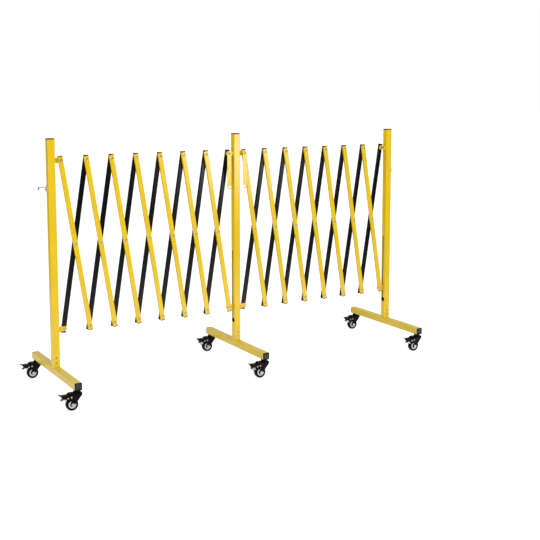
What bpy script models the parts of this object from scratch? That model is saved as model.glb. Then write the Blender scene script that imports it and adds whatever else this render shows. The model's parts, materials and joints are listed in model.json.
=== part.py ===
"""Metal barrier fence on casters: three stands joined by two scissor lattices that fold and open.

Each stand is a square post bolted on a foot beam, and the beam rides on two braked swivel casters.
Each lattice is seven front slats crossing seven rear slats, riveted where they meet.
Lengths are metres, +Z is up, the fence runs along X and its front faces -Y.
"""

import math

import bmesh
import bpy
from mathutils import Matrix, Vector

# Stands: square tube, with a bolted stub between the post and its foot beam.
TUBE_SIDE = 0.030
TUBE_WALL = 0.0015
POST_CAP_THICKNESS = 0.004
BEAM_LENGTH = 0.540
BEAM_PLUG_THICKNESS = 0.003
SEAT_THICKNESS = 0.002
STUB_CLEARANCE = 0.0005
STUB_WALL = 0.002
STUB_RISE = 0.060
BOLT_RISES = (0.018, 0.038)
BOLT_RADIUS = 0.003
BOLT_HEAD_RADIUS = 0.005
BOLT_HEAD_THICKNESS = 0.003
BOLT_NUT_THICKNESS = 0.005
BOLT_HOLE_RADIUS = 0.0036

# Lattice: rectangular tube slats on two planes, one in front of the other.
SLAT_WIDTH = 0.020
SLAT_DEPTH = 0.010
SLAT_WALL = 0.0012
SLATS_EACH_WAY = 7
PIVOT_LENGTH = 0.704
SLAT_OVERHANG = 0.018
CELL_PITCH = 0.110
FOLDED_PITCH = 0.021
PLANE_GAP = 0.002
PIVOT_REACH = 0.025
LOW_PIVOT_RISE = 0.1545
TOP_PIVOT_DROP = 0.090

# Rivets and pins, all along Y.
RIVET_SIDES = 8
HOLE_SIDES = 6
SHANK_RADIUS = 0.0028
PIVOT_CLEARANCE = 0.0008
HEAD_RADIUS = 0.005
HEAD_THICKNESS = 0.0025
HEAD_GAP = 0.0003

# Plates that hold the lattice's ends, and the slots that guide the lower ones.
TAB_THICKNESS = 0.004
TAB_HALF_HEIGHT = 0.0105
TAB_END_STEPS = 6
SLIDER_PLATE_THICKNESS = 0.003
SLIDER_PLATE_CLEARANCE = 0.0035
SLIDER_PLATE_HEIGHT = 0.040
SLOT_CLEARANCE = 0.002
SLOT_BELOW_PIVOT = 0.059
SLOT_ABOVE_PIVOT = 0.257
WINDOW_CLEARANCE = 0.0005
WINDOW_BELOW_SLOT = 0.0115
WINDOW_HEIGHT = 0.017

# Latch bars that hang from the middle post and hook the folded lattice's far pin.
LATCH_WIDTH = 0.020
LATCH_THICKNESS = 0.003
LATCH_END_REACH = 0.0095
LATCH_TIP_RADIUS = 0.002
LATCH_NOTCH_CLEARANCE = 0.0012
LATCH_STANDOFF = 0.0004
LATCH_PLAY = 0.0003

# Hook on the left post and strap on the right post, which join one fence to the next.
LINK_DROP = 0.203
LINK_PAD_THICKNESS = 0.004
LINK_PAD_WIDTH = 0.018
LINK_PAD_HEIGHT = 0.024
HOOK_REACH = 0.034
HOOK_THICKNESS = 0.003
HOOK_WIDTH = 0.012
HOOK_FOOT_HEIGHT = 0.018
HOOK_TIP_DROP = 0.014
STRAP_THICKNESS = 0.002
STRAP_HEIGHT = 0.020
STRAP_CLEARANCE = 0.0035
STRAP_SIDE_CLEARANCE = 0.001
STRAP_FOOT_WIDTH = 0.005

# Casters, from the floor up: wheel, kingpin head, fork crown, race under the beam.
CASTER_INSET = 0.020
CASTER_TRAIL = 0.022
WHEEL_RADIUS = 0.025
WHEEL_WIDTH = 0.020
WHEEL_SHOULDER = 0.002
WHEEL_RIM_DEPTH = 0.005
WHEEL_DISH = 0.002
WHEEL_HUB_RADIUS = 0.009
WHEEL_SIDES = 20
ROUND_SIDES = 10
WHEEL_CLEARANCE = 0.0128
KINGPIN_RADIUS = 0.004
KINGPIN_CLEARANCE = 0.0006
KINGPIN_HEAD_RADIUS = 0.008
KINGPIN_HEAD_THICKNESS = 0.0045
SWIVEL_GAP = 0.0005
CROWN_THICKNESS = 0.0032
RACE_RADIUS = 0.014
RACE_THICKNESS = 0.0088
LEG_THICKNESS = 0.0022
LEG_CLEARANCE = 0.0028
FORK_FRONT_REACH = 0.017
FORK_REAR_REACH = 0.012
LEG_SHOULDER_DROP = 0.0085
LOBE_REACH = 0.006
AXLE_BOSS_RADIUS = 0.008
AXLE_RADIUS = 0.0035
AXLE_CLEARANCE = 0.0006
AXLE_NUT_RADIUS = 0.006
AXLE_NUT_THICKNESS = 0.0035
AXLE_NUT_SIDES = 6

# Brake pedal: an upside-down channel between the fork's legs, with a lip at its end. A bent strip
# under it is the shoe behind the wheel and the tongue that lets the brake off.
PEDAL_PIVOT_ANGLE = 123.0
PEDAL_PIVOT_CLEARANCE = 0.0077
PEDAL_PIN_RADIUS = 0.0022
PEDAL_PIN_CLEARANCE = 0.0005
PEDAL_PIN_HEAD_RADIUS = 0.0035
PEDAL_PIN_HEAD_THICKNESS = 0.0012
PEDAL_SIDE_GAP = 0.0005
PEDAL_SHEET = 0.0017
PEDAL_CROWN_GAP = 0.0007
PEDAL_FRONT = 0.004
PEDAL_REAR = 0.025
PEDAL_FLANGE_LOW = 0.004
PEDAL_FLANGE_TAIL = 0.006
PEDAL_LIP_REACH = 0.011
PEDAL_LIP_RISE = 0.005
SHOE_ANGLE = 153.5
SHOE_GAP = 0.0034
SHOE_LENGTH = 0.0155
SHOE_SLOPE = 136.0
SHOE_THICKNESS = 0.0022
TONGUE_LENGTH = 0.010
TONGUE_SLOPE = 200.0

FIT_GAP = 0.0003
OVERLAP = 0.0006
WELD = 1e-6
SMOOTH_ANGLE = math.radians(40)

# Sizes that follow from the ones above.
TUBE_HALF = TUBE_SIDE / 2
BORE_HALF = TUBE_HALF - TUBE_WALL
PLATE_HALF_WIDTH = BORE_HALF - SLIDER_PLATE_CLEARANCE
AXLE_HEIGHT = WHEEL_RADIUS * math.cos(math.pi / WHEEL_SIDES)
KINGPIN_HEAD_BOTTOM = AXLE_HEIGHT + WHEEL_RADIUS + WHEEL_CLEARANCE
KINGPIN_HEAD_TOP = KINGPIN_HEAD_BOTTOM + KINGPIN_HEAD_THICKNESS
CROWN_BOTTOM = KINGPIN_HEAD_TOP + SWIVEL_GAP
CROWN_TOP = CROWN_BOTTOM + CROWN_THICKNESS
RACE_BOTTOM = CROWN_TOP + SWIVEL_GAP
CASTER_HEIGHT = RACE_BOTTOM + RACE_THICKNESS
BEAM_TOP = CASTER_HEIGHT + TUBE_SIDE
POST_FOOT = BEAM_TOP + SEAT_THICKNESS + FIT_GAP
POST_PITCH = SLATS_EACH_WAY * CELL_PITCH + 2 * (TUBE_HALF + PIVOT_REACH)
PIVOT_OFFSET = TUBE_HALF + PIVOT_REACH
SLAT_ANGLE = math.asin(CELL_PITCH / PIVOT_LENGTH)
LOW_PIVOT = BEAM_TOP + LOW_PIVOT_RISE
TOP_PIVOT = LOW_PIVOT + PIVOT_LENGTH * math.cos(SLAT_ANGLE)
STAND_TOP = TOP_PIVOT + TOP_PIVOT_DROP
SLAT_FACE = PLANE_GAP / 2 + SLAT_DEPTH
TAIL_FACE = SLAT_FACE + HEAD_GAP
TAB_NEAR = PLANE_GAP / 2
TAB_FAR = TAB_NEAR + TAB_THICKNESS
TAB_MIDDLE = TAB_NEAR + TAB_THICKNESS / 2
PIVOT_HOLE_RADIUS = SHANK_RADIUS + PIVOT_CLEARANCE
LATCH_BACK = SLAT_FACE + HEAD_THICKNESS + LATCH_STANDOFF
LATCH_FRONT = LATCH_BACK + LATCH_THICKNESS + 2 * LATCH_PLAY
LATCH_LENGTH = SLATS_EACH_WAY * FOLDED_PITCH
LINK_HEIGHT = STAND_TOP - LINK_DROP
STRAP_DEPTH = HOOK_THICKNESS + STRAP_CLEARANCE + STRAP_THICKNESS
LEG_INNER = WHEEL_WIDTH / 2 + LEG_CLEARANCE
LEG_OUTER = LEG_INNER + LEG_THICKNESS
AXLE = (-CASTER_TRAIL, AXLE_HEIGHT)
ALONG_Y = Matrix.Rotation(-math.pi / 2, 4, "X")


def at_angle(middle, radius, degrees):
    """Point at a radius and an angle round a middle, both in (x, z)."""
    angle = math.radians(degrees)
    return (middle[0] + radius * math.cos(angle), middle[1] + radius * math.sin(angle))


PEDAL_PIVOT = at_angle(AXLE, WHEEL_RADIUS + PEDAL_PIN_RADIUS + PEDAL_PIVOT_CLEARANCE, PEDAL_PIVOT_ANGLE)
PEDAL_TIP_X = PEDAL_PIVOT[0] - PEDAL_REAR - PEDAL_LIP_REACH
STRAP_CREST_X = TUBE_HALF + FIT_GAP + STRAP_DEPTH
CENTRING = (-PEDAL_TIP_X - STRAP_CREST_X) / 2


def clear_scene():
    """Remove everything that is already in the scene."""
    for existing in list(bpy.data.objects):
        bpy.data.objects.remove(existing)


def paint(name, colour, roughness, metallic=0.0):
    """Plain material with one colour."""
    material = bpy.data.materials.new(name)
    material.use_nodes = True
    shader = material.node_tree.nodes["Principled BSDF"]
    shader.inputs["Base Color"].default_value = (*colour, 1.0)
    shader.inputs["Roughness"].default_value = roughness
    shader.inputs["Metallic"].default_value = metallic
    material.diffuse_color = (*colour, 1.0)
    return material


def mesh_from(shape):
    """Turn a finished bmesh into a mesh whose faces point out."""
    bmesh.ops.recalc_face_normals(shape, faces=shape.faces)
    mesh = bpy.data.meshes.new("shape")
    shape.to_mesh(mesh)
    shape.free()
    return mesh


def block(low, high):
    """Box between two opposite corners."""
    shape = bmesh.new()
    size = Vector(high) - Vector(low)
    middle = (Vector(high) + Vector(low)) / 2
    bmesh.ops.create_cube(shape, size=1.0, matrix=Matrix.LocRotScale(middle, None, size))
    return mesh_from(shape)


def prism(outline, low, high, place=None):
    """Solid with its outline in (x, z), reaching along Y from low to high."""
    shape = bmesh.new()
    face = shape.faces.new([shape.verts.new((x, low, z)) for x, z in outline])
    grown = bmesh.ops.extrude_face_region(shape, geom=[face])
    moved = [item for item in grown["geom"] if isinstance(item, bmesh.types.BMVert)]
    bmesh.ops.translate(shape, verts=moved, vec=(0, high - low, 0))
    shape.transform(place or Matrix())
    return mesh_from(shape)


def turned(profile, sides, place=None):
    """Solid turned about Z from (radius, height) points; a profile off the axis closes on itself."""
    shape = bmesh.new()
    points = [shape.verts.new((radius, 0, height)) for radius, height in profile]
    pairs = list(zip(points, points[1:]))
    if profile[0][0] > 0:
        pairs.append((points[-1], points[0]))
    edges = [shape.edges.new(pair) for pair in pairs]
    bmesh.ops.spin(
        shape, geom=points + edges, axis=(0, 0, 1), cent=(0, 0, 0), angle=2 * math.pi, steps=sides
    )
    bmesh.ops.remove_doubles(shape, verts=shape.verts, dist=WELD)
    shape.transform(place or Matrix())
    return mesh_from(shape)


def rod(radius, low, high, sides, place=None):
    """Plain round bar about Z, or about the axis that place turns Z to."""
    return turned([(0, low), (radius, low), (radius, high), (0, high)], sides, place)


def carved(base, *steps):
    """Mesh of the base after each (operation, tool mesh) step, in order."""
    blank = bpy.data.objects.new("blank", base)
    helpers = [blank]
    for operation, tool in steps:
        helper = bpy.data.objects.new("helper", tool)
        helpers.append(helper)
        modifier = blank.modifiers.new("carve", "BOOLEAN")
        modifier.operation = operation
        modifier.solver = "EXACT"
        modifier.object = helper
    for helper in helpers:
        bpy.context.scene.collection.objects.link(helper)
    graph = bpy.context.evaluated_depsgraph_get()
    mesh = bpy.data.meshes.new_from_object(blank.evaluated_get(graph))
    for helper in helpers:
        bpy.data.objects.remove(helper)
    mesh.shade_smooth()
    mesh.set_sharp_from_angle(angle=SMOOTH_ANGLE)
    return mesh


def put(name, mesh, material, parent, location=(0, 0, 0), turn=0.0):
    """Make one named piece, placed in its parent and turned about Y."""
    mesh.name = name
    piece = bpy.data.objects.new(name, mesh)
    if not mesh.materials:
        mesh.materials.append(material)
    bpy.context.scene.collection.objects.link(piece)
    piece.parent = parent
    piece.location = location
    piece.rotation_euler.y = turn
    return piece


def pivot(name, location, parent=None):
    """Empty that carries pieces, on the axis they move about."""
    empty = bpy.data.objects.new(name, None)
    bpy.context.scene.collection.objects.link(empty)
    empty.parent = parent
    empty.location = location
    return empty


def arc(middle, radius, start, end, steps):
    """Points along an arc, from one angle in degrees to another."""
    turn = (end - start) / steps
    return [at_angle(middle, radius, start + turn * step) for step in range(steps + 1)]


def along_y(x, z):
    """Place a piece turned about Z with its axis along Y through (x, z)."""
    return Matrix.Translation((x, 0, z)) @ ALONG_Y


def head_profile(face, outward, bury=0.0):
    """Rivet head on a face at the given depth, sunk in by bury, from its rim to its axis."""
    crown = face + outward * HEAD_THICKNESS
    return [(HEAD_RADIUS, face - outward * bury), (HEAD_RADIUS, crown), (0, crown)]


def rivet(x, z):
    """Rivet fixed in a front slat, with its tail head loose behind the rear slat."""
    front = list(reversed(head_profile(-SLAT_FACE, -1, OVERLAP)))
    back = head_profile(TAIL_FACE, 1)
    shank = [(SHANK_RADIUS, front[-1][1]), (SHANK_RADIUS, TAIL_FACE)]
    return turned(front + shank + back, RIVET_SIDES, along_y(x, z))


def bracket_pin(x, z, side):
    """Long pin of an upper bracket: it carries a slat, and its neck takes a latch bar in front."""
    head = list(reversed(head_profile(-LATCH_FRONT, -1)))
    neck = [(SHANK_RADIUS, -LATCH_FRONT), (SHANK_RADIUS, -LATCH_BACK), (HEAD_RADIUS, -LATCH_BACK)]
    if side < 0:
        collar = -TAB_FAR + OVERLAP
        tail = head_profile(TAIL_FACE, 1)
    else:
        collar = -TAIL_FACE
        tail = head_profile(TAB_FAR, 1, OVERLAP)
    shank = [(HEAD_RADIUS, collar), (SHANK_RADIUS, collar), (SHANK_RADIUS, tail[0][1])]
    return turned(head + neck + shank + tail, RIVET_SIDES, along_y(x, z))


def tongue(reach, low, high, x=0.0, z=0.0):
    """Flat tab about its pivot, with a round end, reaching along X to reach."""
    start = 90 if reach > 0 else -90
    end = arc((x, z), TAB_HALF_HEIGHT, start, start + 180, TAB_END_STEPS)
    last = end[-1][1]
    return prism(end + [(x + reach, last), (x + reach, 2 * z - last)], low, high)


def tab_span(plane):
    """Depths of a tab on the front (-1) or rear (+1) plane, low first."""
    return sorted((plane * TAB_NEAR, plane * TAB_FAR))


def post_mesh(lattice_sides, link_side):
    """Square post about its own axis, heights from the floor, with brackets, slots and bolts.

    A window at each slot's lower end lets the slider's plate in.
    """
    cap_base = STAND_TOP - POST_CAP_THICKNESS
    slot_foot = LOW_PIVOT - SLOT_BELOW_PIVOT
    window_foot = slot_foot - WINDOW_BELOW_SLOT
    window_half = PLATE_HALF_WIDTH + WINDOW_CLEARANCE
    outer = block((-TUBE_HALF, -TUBE_HALF, POST_FOOT), (TUBE_HALF, TUBE_HALF, STAND_TOP))
    bore = block((-BORE_HALF, -BORE_HALF, BEAM_TOP), (BORE_HALF, BORE_HALF, cap_base))
    steps = [("DIFFERENCE", bore)]
    for side in lattice_sides:
        pin_x = side * PIVOT_OFFSET
        reach = side * (TUBE_HALF - OVERLAP) - pin_x
        steps.append(("UNION", tongue(reach, *tab_span(side), x=pin_x, z=TOP_PIVOT)))
        steps.append(("UNION", bracket_pin(pin_x, TOP_PIVOT, side)))
        slot_y = -side * TAB_MIDDLE
        span = sorted((side * (BORE_HALF - OVERLAP), side * TUBE_SIDE))
        half_slot = TAB_THICKNESS / 2 + SLOT_CLEARANCE
        low = (span[0], slot_y - half_slot, slot_foot)
        high = (span[1], slot_y + half_slot, LOW_PIVOT + SLOT_ABOVE_PIVOT)
        steps.append(("DIFFERENCE", block(low, high)))
        low = (span[0], -window_half, window_foot)
        high = (span[1], window_half, window_foot + WINDOW_HEIGHT)
        steps.append(("DIFFERENCE", block(low, high)))
    for rise in BOLT_RISES:
        steps.append(("UNION", foot_bolt(BEAM_TOP + rise)))
    if link_side:
        pad_face = TUBE_HALF + LINK_PAD_THICKNESS
        span = sorted((link_side * (TUBE_HALF - OVERLAP), link_side * pad_face))
        low = (span[0], -LINK_PAD_WIDTH / 2, LINK_HEIGHT - LINK_PAD_HEIGHT / 2)
        high = (span[1], LINK_PAD_WIDTH / 2, LINK_HEIGHT + LINK_PAD_HEIGHT / 2)
        steps.append(("UNION", block(low, high)))
    return carved(outer, *steps)


def foot_bolt(height):
    """Bolt through the post and the beam's stub, head in front and nut behind."""
    head = -TUBE_HALF - BOLT_HEAD_THICKNESS
    nut = TUBE_HALF + BOLT_NUT_THICKNESS
    profile = [
        (0, head),
        (BOLT_HEAD_RADIUS, head),
        (BOLT_HEAD_RADIUS, -TUBE_HALF + OVERLAP),
        (BOLT_RADIUS, -TUBE_HALF + OVERLAP),
        (BOLT_RADIUS, TUBE_HALF - OVERLAP),
        (BOLT_HEAD_RADIUS, TUBE_HALF - OVERLAP),
        (BOLT_HEAD_RADIUS, nut),
        (0, nut),
    ]
    return turned(profile, RIVET_SIDES, along_y(0, height))


def beam_mesh():
    """Foot beam along Y with the post's seat and stub, caster races and kingpins, from the floor."""
    half = BEAM_LENGTH / 2
    hollow = half - BEAM_PLUG_THICKNESS
    outer = block((-TUBE_HALF, -half, CASTER_HEIGHT), (TUBE_HALF, half, BEAM_TOP))
    bore = block(
        (-BORE_HALF, -hollow, CASTER_HEIGHT + TUBE_WALL), (BORE_HALF, hollow, BEAM_TOP - TUBE_WALL)
    )
    seat_top = BEAM_TOP + SEAT_THICKNESS
    seat = block((-TUBE_HALF, -TUBE_HALF, BEAM_TOP - OVERLAP), (TUBE_HALF, TUBE_HALF, seat_top))
    stub_half = BORE_HALF - STUB_CLEARANCE
    stub_top = BEAM_TOP + STUB_RISE
    stub = block((-stub_half, -stub_half, BEAM_TOP), (stub_half, stub_half, stub_top))
    well = stub_half - STUB_WALL
    inside = block((-well, -well, BEAM_TOP - 2 * TUBE_WALL), (well, well, stub_top + STUB_WALL))
    steps = [("DIFFERENCE", bore), ("UNION", seat), ("UNION", stub), ("DIFFERENCE", inside)]
    for rise in BOLT_RISES:
        hole = rod(BOLT_HOLE_RADIUS, -TUBE_SIDE, TUBE_SIDE, RIVET_SIDES, along_y(0, BEAM_TOP + rise))
        steps.append(("DIFFERENCE", hole))
    for end in (-1, 1):
        steps.append(("UNION", kingpin(end * (half - CASTER_INSET))))
    return carved(outer, *steps)


def kingpin(y):
    """Race under the beam and the pin with its lower head, which the fork turns on."""
    seat = CASTER_HEIGHT + OVERLAP
    profile = [
        (0, KINGPIN_HEAD_BOTTOM),
        (KINGPIN_HEAD_RADIUS, KINGPIN_HEAD_BOTTOM),
        (KINGPIN_HEAD_RADIUS, KINGPIN_HEAD_TOP),
        (KINGPIN_RADIUS, KINGPIN_HEAD_TOP),
        (KINGPIN_RADIUS, RACE_BOTTOM),
        (RACE_RADIUS, RACE_BOTTOM),
        (RACE_RADIUS, seat),
        (0, seat),
    ]
    return turned(profile, ROUND_SIDES, Matrix.Translation((0, y, 0)))


def slat_mesh(top, riveted):
    """Slat along Z about its joint's axis; top is how far its upper pivot is above that axis.

    riveted says for the upper, middle and lower pivot whether the slat carries the rivet there;
    None makes a rear slat, which has clearance holes at all three.
    """
    plane = 1 if riveted is None else -1
    near, far = sorted((plane * PLANE_GAP / 2, plane * SLAT_FACE))
    half = SLAT_WIDTH / 2
    high = top + SLAT_OVERHANG
    low = top - PIVOT_LENGTH - SLAT_OVERHANG
    outer = block((-half, near, low), (half, far, high))
    wall = SLAT_WALL
    inner = block((-half + wall, near + wall, low + wall), (half - wall, far - wall, high - wall))
    steps = [("DIFFERENCE", inner)]
    heights = (top, top - PIVOT_LENGTH / 2, top - PIVOT_LENGTH)
    for height, held in zip(heights, riveted or (False, False, False)):
        start = far - 2 * wall if held else near - wall
        hole = rod(PIVOT_HOLE_RADIUS, start, far + wall, HOLE_SIDES, along_y(0, height))
        steps.append(("DIFFERENCE", hole))
        if held:
            steps.append(("UNION", rivet(0, height)))
    return carved(outer, *steps)


def slider_mesh(side):
    """Lower tab about its pivot, its plate inside the post's slot, and the pin of the end slat.

    side is where the lattice lies from its post: the post is the other way.
    """
    plane = -side
    low, high = tab_span(plane)
    plate_start = PIVOT_OFFSET - BORE_HALF + FIT_GAP
    plate_end = plate_start + SLIDER_PLATE_THICKNESS
    tab = tongue(-side * (plate_start + OVERLAP), low, high)
    span = sorted((-side * plate_start, -side * plate_end))
    half_height = SLIDER_PLATE_HEIGHT / 2
    low_corner = (span[0], -PLATE_HALF_WIDTH, -half_height)
    plate = block(low_corner, (span[1], PLATE_HALF_WIDTH, half_height))
    end = -plane * TAIL_FACE
    head = list(reversed(head_profile(plane * TAB_FAR, plane, OVERLAP)))
    shank = [(SHANK_RADIUS, head[-1][1]), (SHANK_RADIUS, end)]
    pin = turned(head + shank + head_profile(end, -plane), RIVET_SIDES, ALONG_Y)
    return carved(tab, ("UNION", plate), ("UNION", pin))


def latch_mesh(side):
    """Flat bar hanging from its pin, with a notch near its foot that opens toward the post."""
    half = LATCH_WIDTH / 2
    back = -LATCH_BACK - LATCH_PLAY
    front = back - LATCH_THICKNESS
    foot = -LATCH_LENGTH - LATCH_END_REACH
    left, right = (LATCH_END_REACH, LATCH_TIP_RADIUS)[::-side]
    outline = arc((0, 0), half, 0, 180, TAB_END_STEPS)
    outline += arc((-half + left, foot + left), left, 180, 270, TAB_END_STEPS // 2)
    outline += arc((half - right, foot + right), right, 270, 360, TAB_END_STEPS // 2)
    bar = prism(outline, front, back)
    hole = rod(PIVOT_HOLE_RADIUS, front - LATCH_THICKNESS, -TAB_FAR, HOLE_SIDES, ALONG_Y)
    mouth = -side * LATCH_WIDTH
    start = 90 if mouth > 0 else -90
    radius = SHANK_RADIUS + LATCH_NOTCH_CLEARANCE
    notch = arc((0, -LATCH_LENGTH), radius, start, start + 180, TAB_END_STEPS)
    last = notch[-1][1]
    notch += [(mouth, last), (mouth, -2 * LATCH_LENGTH - last)]
    cut = prism(notch, front - LATCH_THICKNESS, back + LATCH_THICKNESS)
    return carved(bar, ("DIFFERENCE", hole), ("DIFFERENCE", cut))


def hook_mesh():
    """Link hook: a foot on the post's pad, an arm out along -X and a tip turned down."""
    foot = -TUBE_HALF - LINK_PAD_THICKNESS - FIT_GAP
    top = HOOK_FOOT_HEIGHT / 2
    end = foot - HOOK_REACH
    outline = [
        (foot, top),
        (end, top),
        (end, top - HOOK_TIP_DROP),
        (end + HOOK_THICKNESS, top - HOOK_TIP_DROP),
        (end + HOOK_THICKNESS, top - HOOK_THICKNESS),
        (foot - HOOK_THICKNESS, top - HOOK_THICKNESS),
        (foot - HOOK_THICKNESS, -top),
        (foot, -top),
    ]
    return carved(prism(outline, -HOOK_WIDTH / 2, HOOK_WIDTH / 2))


def strap_mesh():
    """Link strap: a bridge that stands off the post's face, with a foot on each side."""
    base = TUBE_HALF + FIT_GAP
    rest = base + STRAP_THICKNESS
    crest = STRAP_CREST_X
    inner = HOOK_WIDTH / 2 + STRAP_SIDE_CLEARANCE
    outer = inner + STRAP_THICKNESS
    edge = outer + STRAP_FOOT_WIDTH
    half = [(base, edge), (rest, edge), (rest, outer), (crest, outer)]
    under = [(base, inner), (crest - STRAP_THICKNESS, inner)]
    mirrored = [(x, -y) for x, y in reversed(half)]
    outline = half + mirrored + [(x, -y) for x, y in under] + list(reversed(under))
    flat = Matrix.Rotation(math.pi / 2, 4, "X")
    return carved(prism(outline, -STRAP_HEIGHT / 2, STRAP_HEIGHT / 2, flat))


def fork_mesh():
    """Caster fork about its swivel axis, heights from the floor, with the axle and pedal pin."""
    top = CROWN_TOP - OVERLAP
    rear = AXLE[0] - FORK_REAR_REACH
    lobe = PEDAL_PIVOT[0] - LOBE_REACH
    lobe_bottom = PEDAL_PIVOT[1] - LOBE_REACH
    outline = [(FORK_FRONT_REACH, top), (rear, top)]
    outline += [(lobe, PEDAL_PIVOT[1] + LOBE_REACH), (lobe, lobe_bottom)]
    outline += [(AXLE[0] - AXLE_BOSS_RADIUS, lobe_bottom)]
    outline += arc(AXLE, AXLE_BOSS_RADIUS, 180, 325, TAB_END_STEPS)
    outline += [(FORK_FRONT_REACH, top - LEG_SHOULDER_DROP)]
    half_crown = (LEG_INNER + LEG_OUTER) / 2
    crown = block(
        (rear, -half_crown, CROWN_BOTTOM), (FORK_FRONT_REACH - OVERLAP, half_crown, CROWN_TOP)
    )
    hole = rod(KINGPIN_RADIUS + KINGPIN_CLEARANCE, AXLE_HEIGHT, CASTER_HEIGHT, ROUND_SIDES)
    steps = [("DIFFERENCE", hole)]
    for low, high in ((-LEG_OUTER, -LEG_INNER), (LEG_INNER, LEG_OUTER)):
        steps.append(("UNION", prism(outline, low, high)))
    nut = (AXLE_NUT_RADIUS, AXLE_NUT_THICKNESS, AXLE_NUT_SIDES)
    steps.append(("UNION", cross_pin(AXLE, AXLE_RADIUS, *nut)))
    head = (PEDAL_PIN_HEAD_RADIUS, PEDAL_PIN_HEAD_THICKNESS, RIVET_SIDES)
    steps.append(("UNION", cross_pin(PEDAL_PIVOT, PEDAL_PIN_RADIUS, *head)))
    return carved(crown, *steps)


def cross_pin(place, radius, head_radius, head_thickness, sides):
    """Pin across both legs with a head outside each."""
    seat = LEG_OUTER - OVERLAP
    end = LEG_OUTER + head_thickness
    half = [(0, end), (head_radius, end), (head_radius, seat), (radius, seat)]
    profile = [(r, -y) for r, y in half] + list(reversed(half))
    return turned(profile, sides, along_y(*place))


def wheel_mesh():
    """Wheel about its axle with dished faces, turned so that a flat of its rim is on the floor."""
    face = WHEEL_WIDTH / 2
    rim = WHEEL_RADIUS - WHEEL_SHOULDER
    profile = [
        (AXLE_RADIUS + AXLE_CLEARANCE, -face),
        (WHEEL_HUB_RADIUS, -face),
        (rim - WHEEL_RIM_DEPTH, WHEEL_DISH - face),
        (rim, -face),
        (WHEEL_RADIUS, WHEEL_SHOULDER - face),
    ]
    profile += [(r, -y) for r, y in reversed(profile)]
    on_flat = Matrix.Rotation(math.pi / WHEEL_SIDES, 4, "Y")
    return carved(turned(profile, WHEEL_SIDES, on_flat @ ALONG_Y))


def pedal_mesh():
    """Brake pedal about its pivot."""
    top = CROWN_BOTTOM - PEDAL_CROWN_GAP - PEDAL_PIVOT[1]
    under = top - PEDAL_SHEET
    tip = -PEDAL_REAR - PEDAL_LIP_REACH
    tip_top = top + PEDAL_LIP_RISE
    plate = [(PEDAL_FRONT, top), (-PEDAL_REAR, top), (tip, tip_top)]
    plate += [(tip, tip_top - PEDAL_SHEET), (-PEDAL_REAR, under), (PEDAL_FRONT, under)]
    axle = (AXLE[0] - PEDAL_PIVOT[0], AXLE[1] - PEDAL_PIVOT[1])
    toe = at_angle(axle, WHEEL_RADIUS + SHOE_GAP, SHOE_ANGLE)
    heel = at_angle(toe, SHOE_LENGTH, SHOE_SLOPE)
    tail = at_angle(heel, TONGUE_LENGTH, TONGUE_SLOPE)
    half_bend = (TONGUE_SLOPE - SHOE_SLOPE) / 2
    mitre = SHOE_THICKNESS / math.cos(math.radians(half_bend))
    shoe = [toe, heel, tail, at_angle(tail, SHOE_THICKNESS, TONGUE_SLOPE - 90)]
    shoe += [at_angle(heel, mitre, SHOE_SLOPE + half_bend - 90)]
    shoe += [at_angle(toe, SHOE_THICKNESS, SHOE_SLOPE - 90)]
    flange = [
        (PEDAL_FRONT - WELD, top - OVERLAP),
        (-PEDAL_REAR + OVERLAP, top - OVERLAP),
        (-PEDAL_REAR + OVERLAP, PEDAL_FLANGE_TAIL),
        heel,
        (PEDAL_FRONT - OVERLAP, -PEDAL_FLANGE_LOW),
    ]
    outer = LEG_INNER - PEDAL_SIDE_GAP
    inner = outer - PEDAL_SHEET
    steps = []
    for low, high in ((-outer + WELD, -inner), (inner, outer - WELD)):
        steps.append(("UNION", prism(flange, low, high)))
    steps.append(("UNION", prism(shoe, -inner - OVERLAP, inner + OVERLAP)))
    hole = rod(PEDAL_PIN_RADIUS + PEDAL_PIN_CLEARANCE, -LEG_OUTER, LEG_OUTER, RIVET_SIDES, ALONG_Y)
    steps.append(("DIFFERENCE", hole))
    return carved(prism(plate, -outer, outer), *steps)


def make_casters(stand, name, drop, paints):
    """Two casters under one stand's foot beam; drop is from the stand's empty to the floor."""
    for label, end in (("front", -1), ("rear", 1)):
        place = (drop[0], end * (BEAM_LENGTH / 2 - CASTER_INSET), drop[2])
        fork = put(f"{name}_{label}_fork", fork_mesh(), paints["black"], stand, place)
        for piece, mesh, paint_name, (x, z) in (
            ("wheel", wheel_mesh(), "tyre", AXLE),
            ("brake_pedal", pedal_mesh(), "black", PEDAL_PIVOT),
        ):
            put(f"{name}_{label}_{piece}", mesh, paints[paint_name], fork, (x, 0, z))


def make_stand(name, x, lattice_sides, link_side, fence, paints):
    """One stand under an empty: on its lattice pivot for an end stand, else on its post's axis."""
    centred = len(lattice_sides) > 1
    shift = 0.0 if centred else lattice_sides[0] * PIVOT_OFFSET
    stand = pivot(f"{name}_stand", (x + shift, 0, TOP_PIVOT), fence)
    drop = (-shift, 0, -TOP_PIVOT)
    put(f"{name}_post", post_mesh(lattice_sides, link_side), paints["yellow"], stand, drop)
    put(f"{name}_foot_beam", beam_mesh(), paints["yellow"], stand, drop)
    make_casters(stand, name, drop, paints)
    return stand


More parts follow.
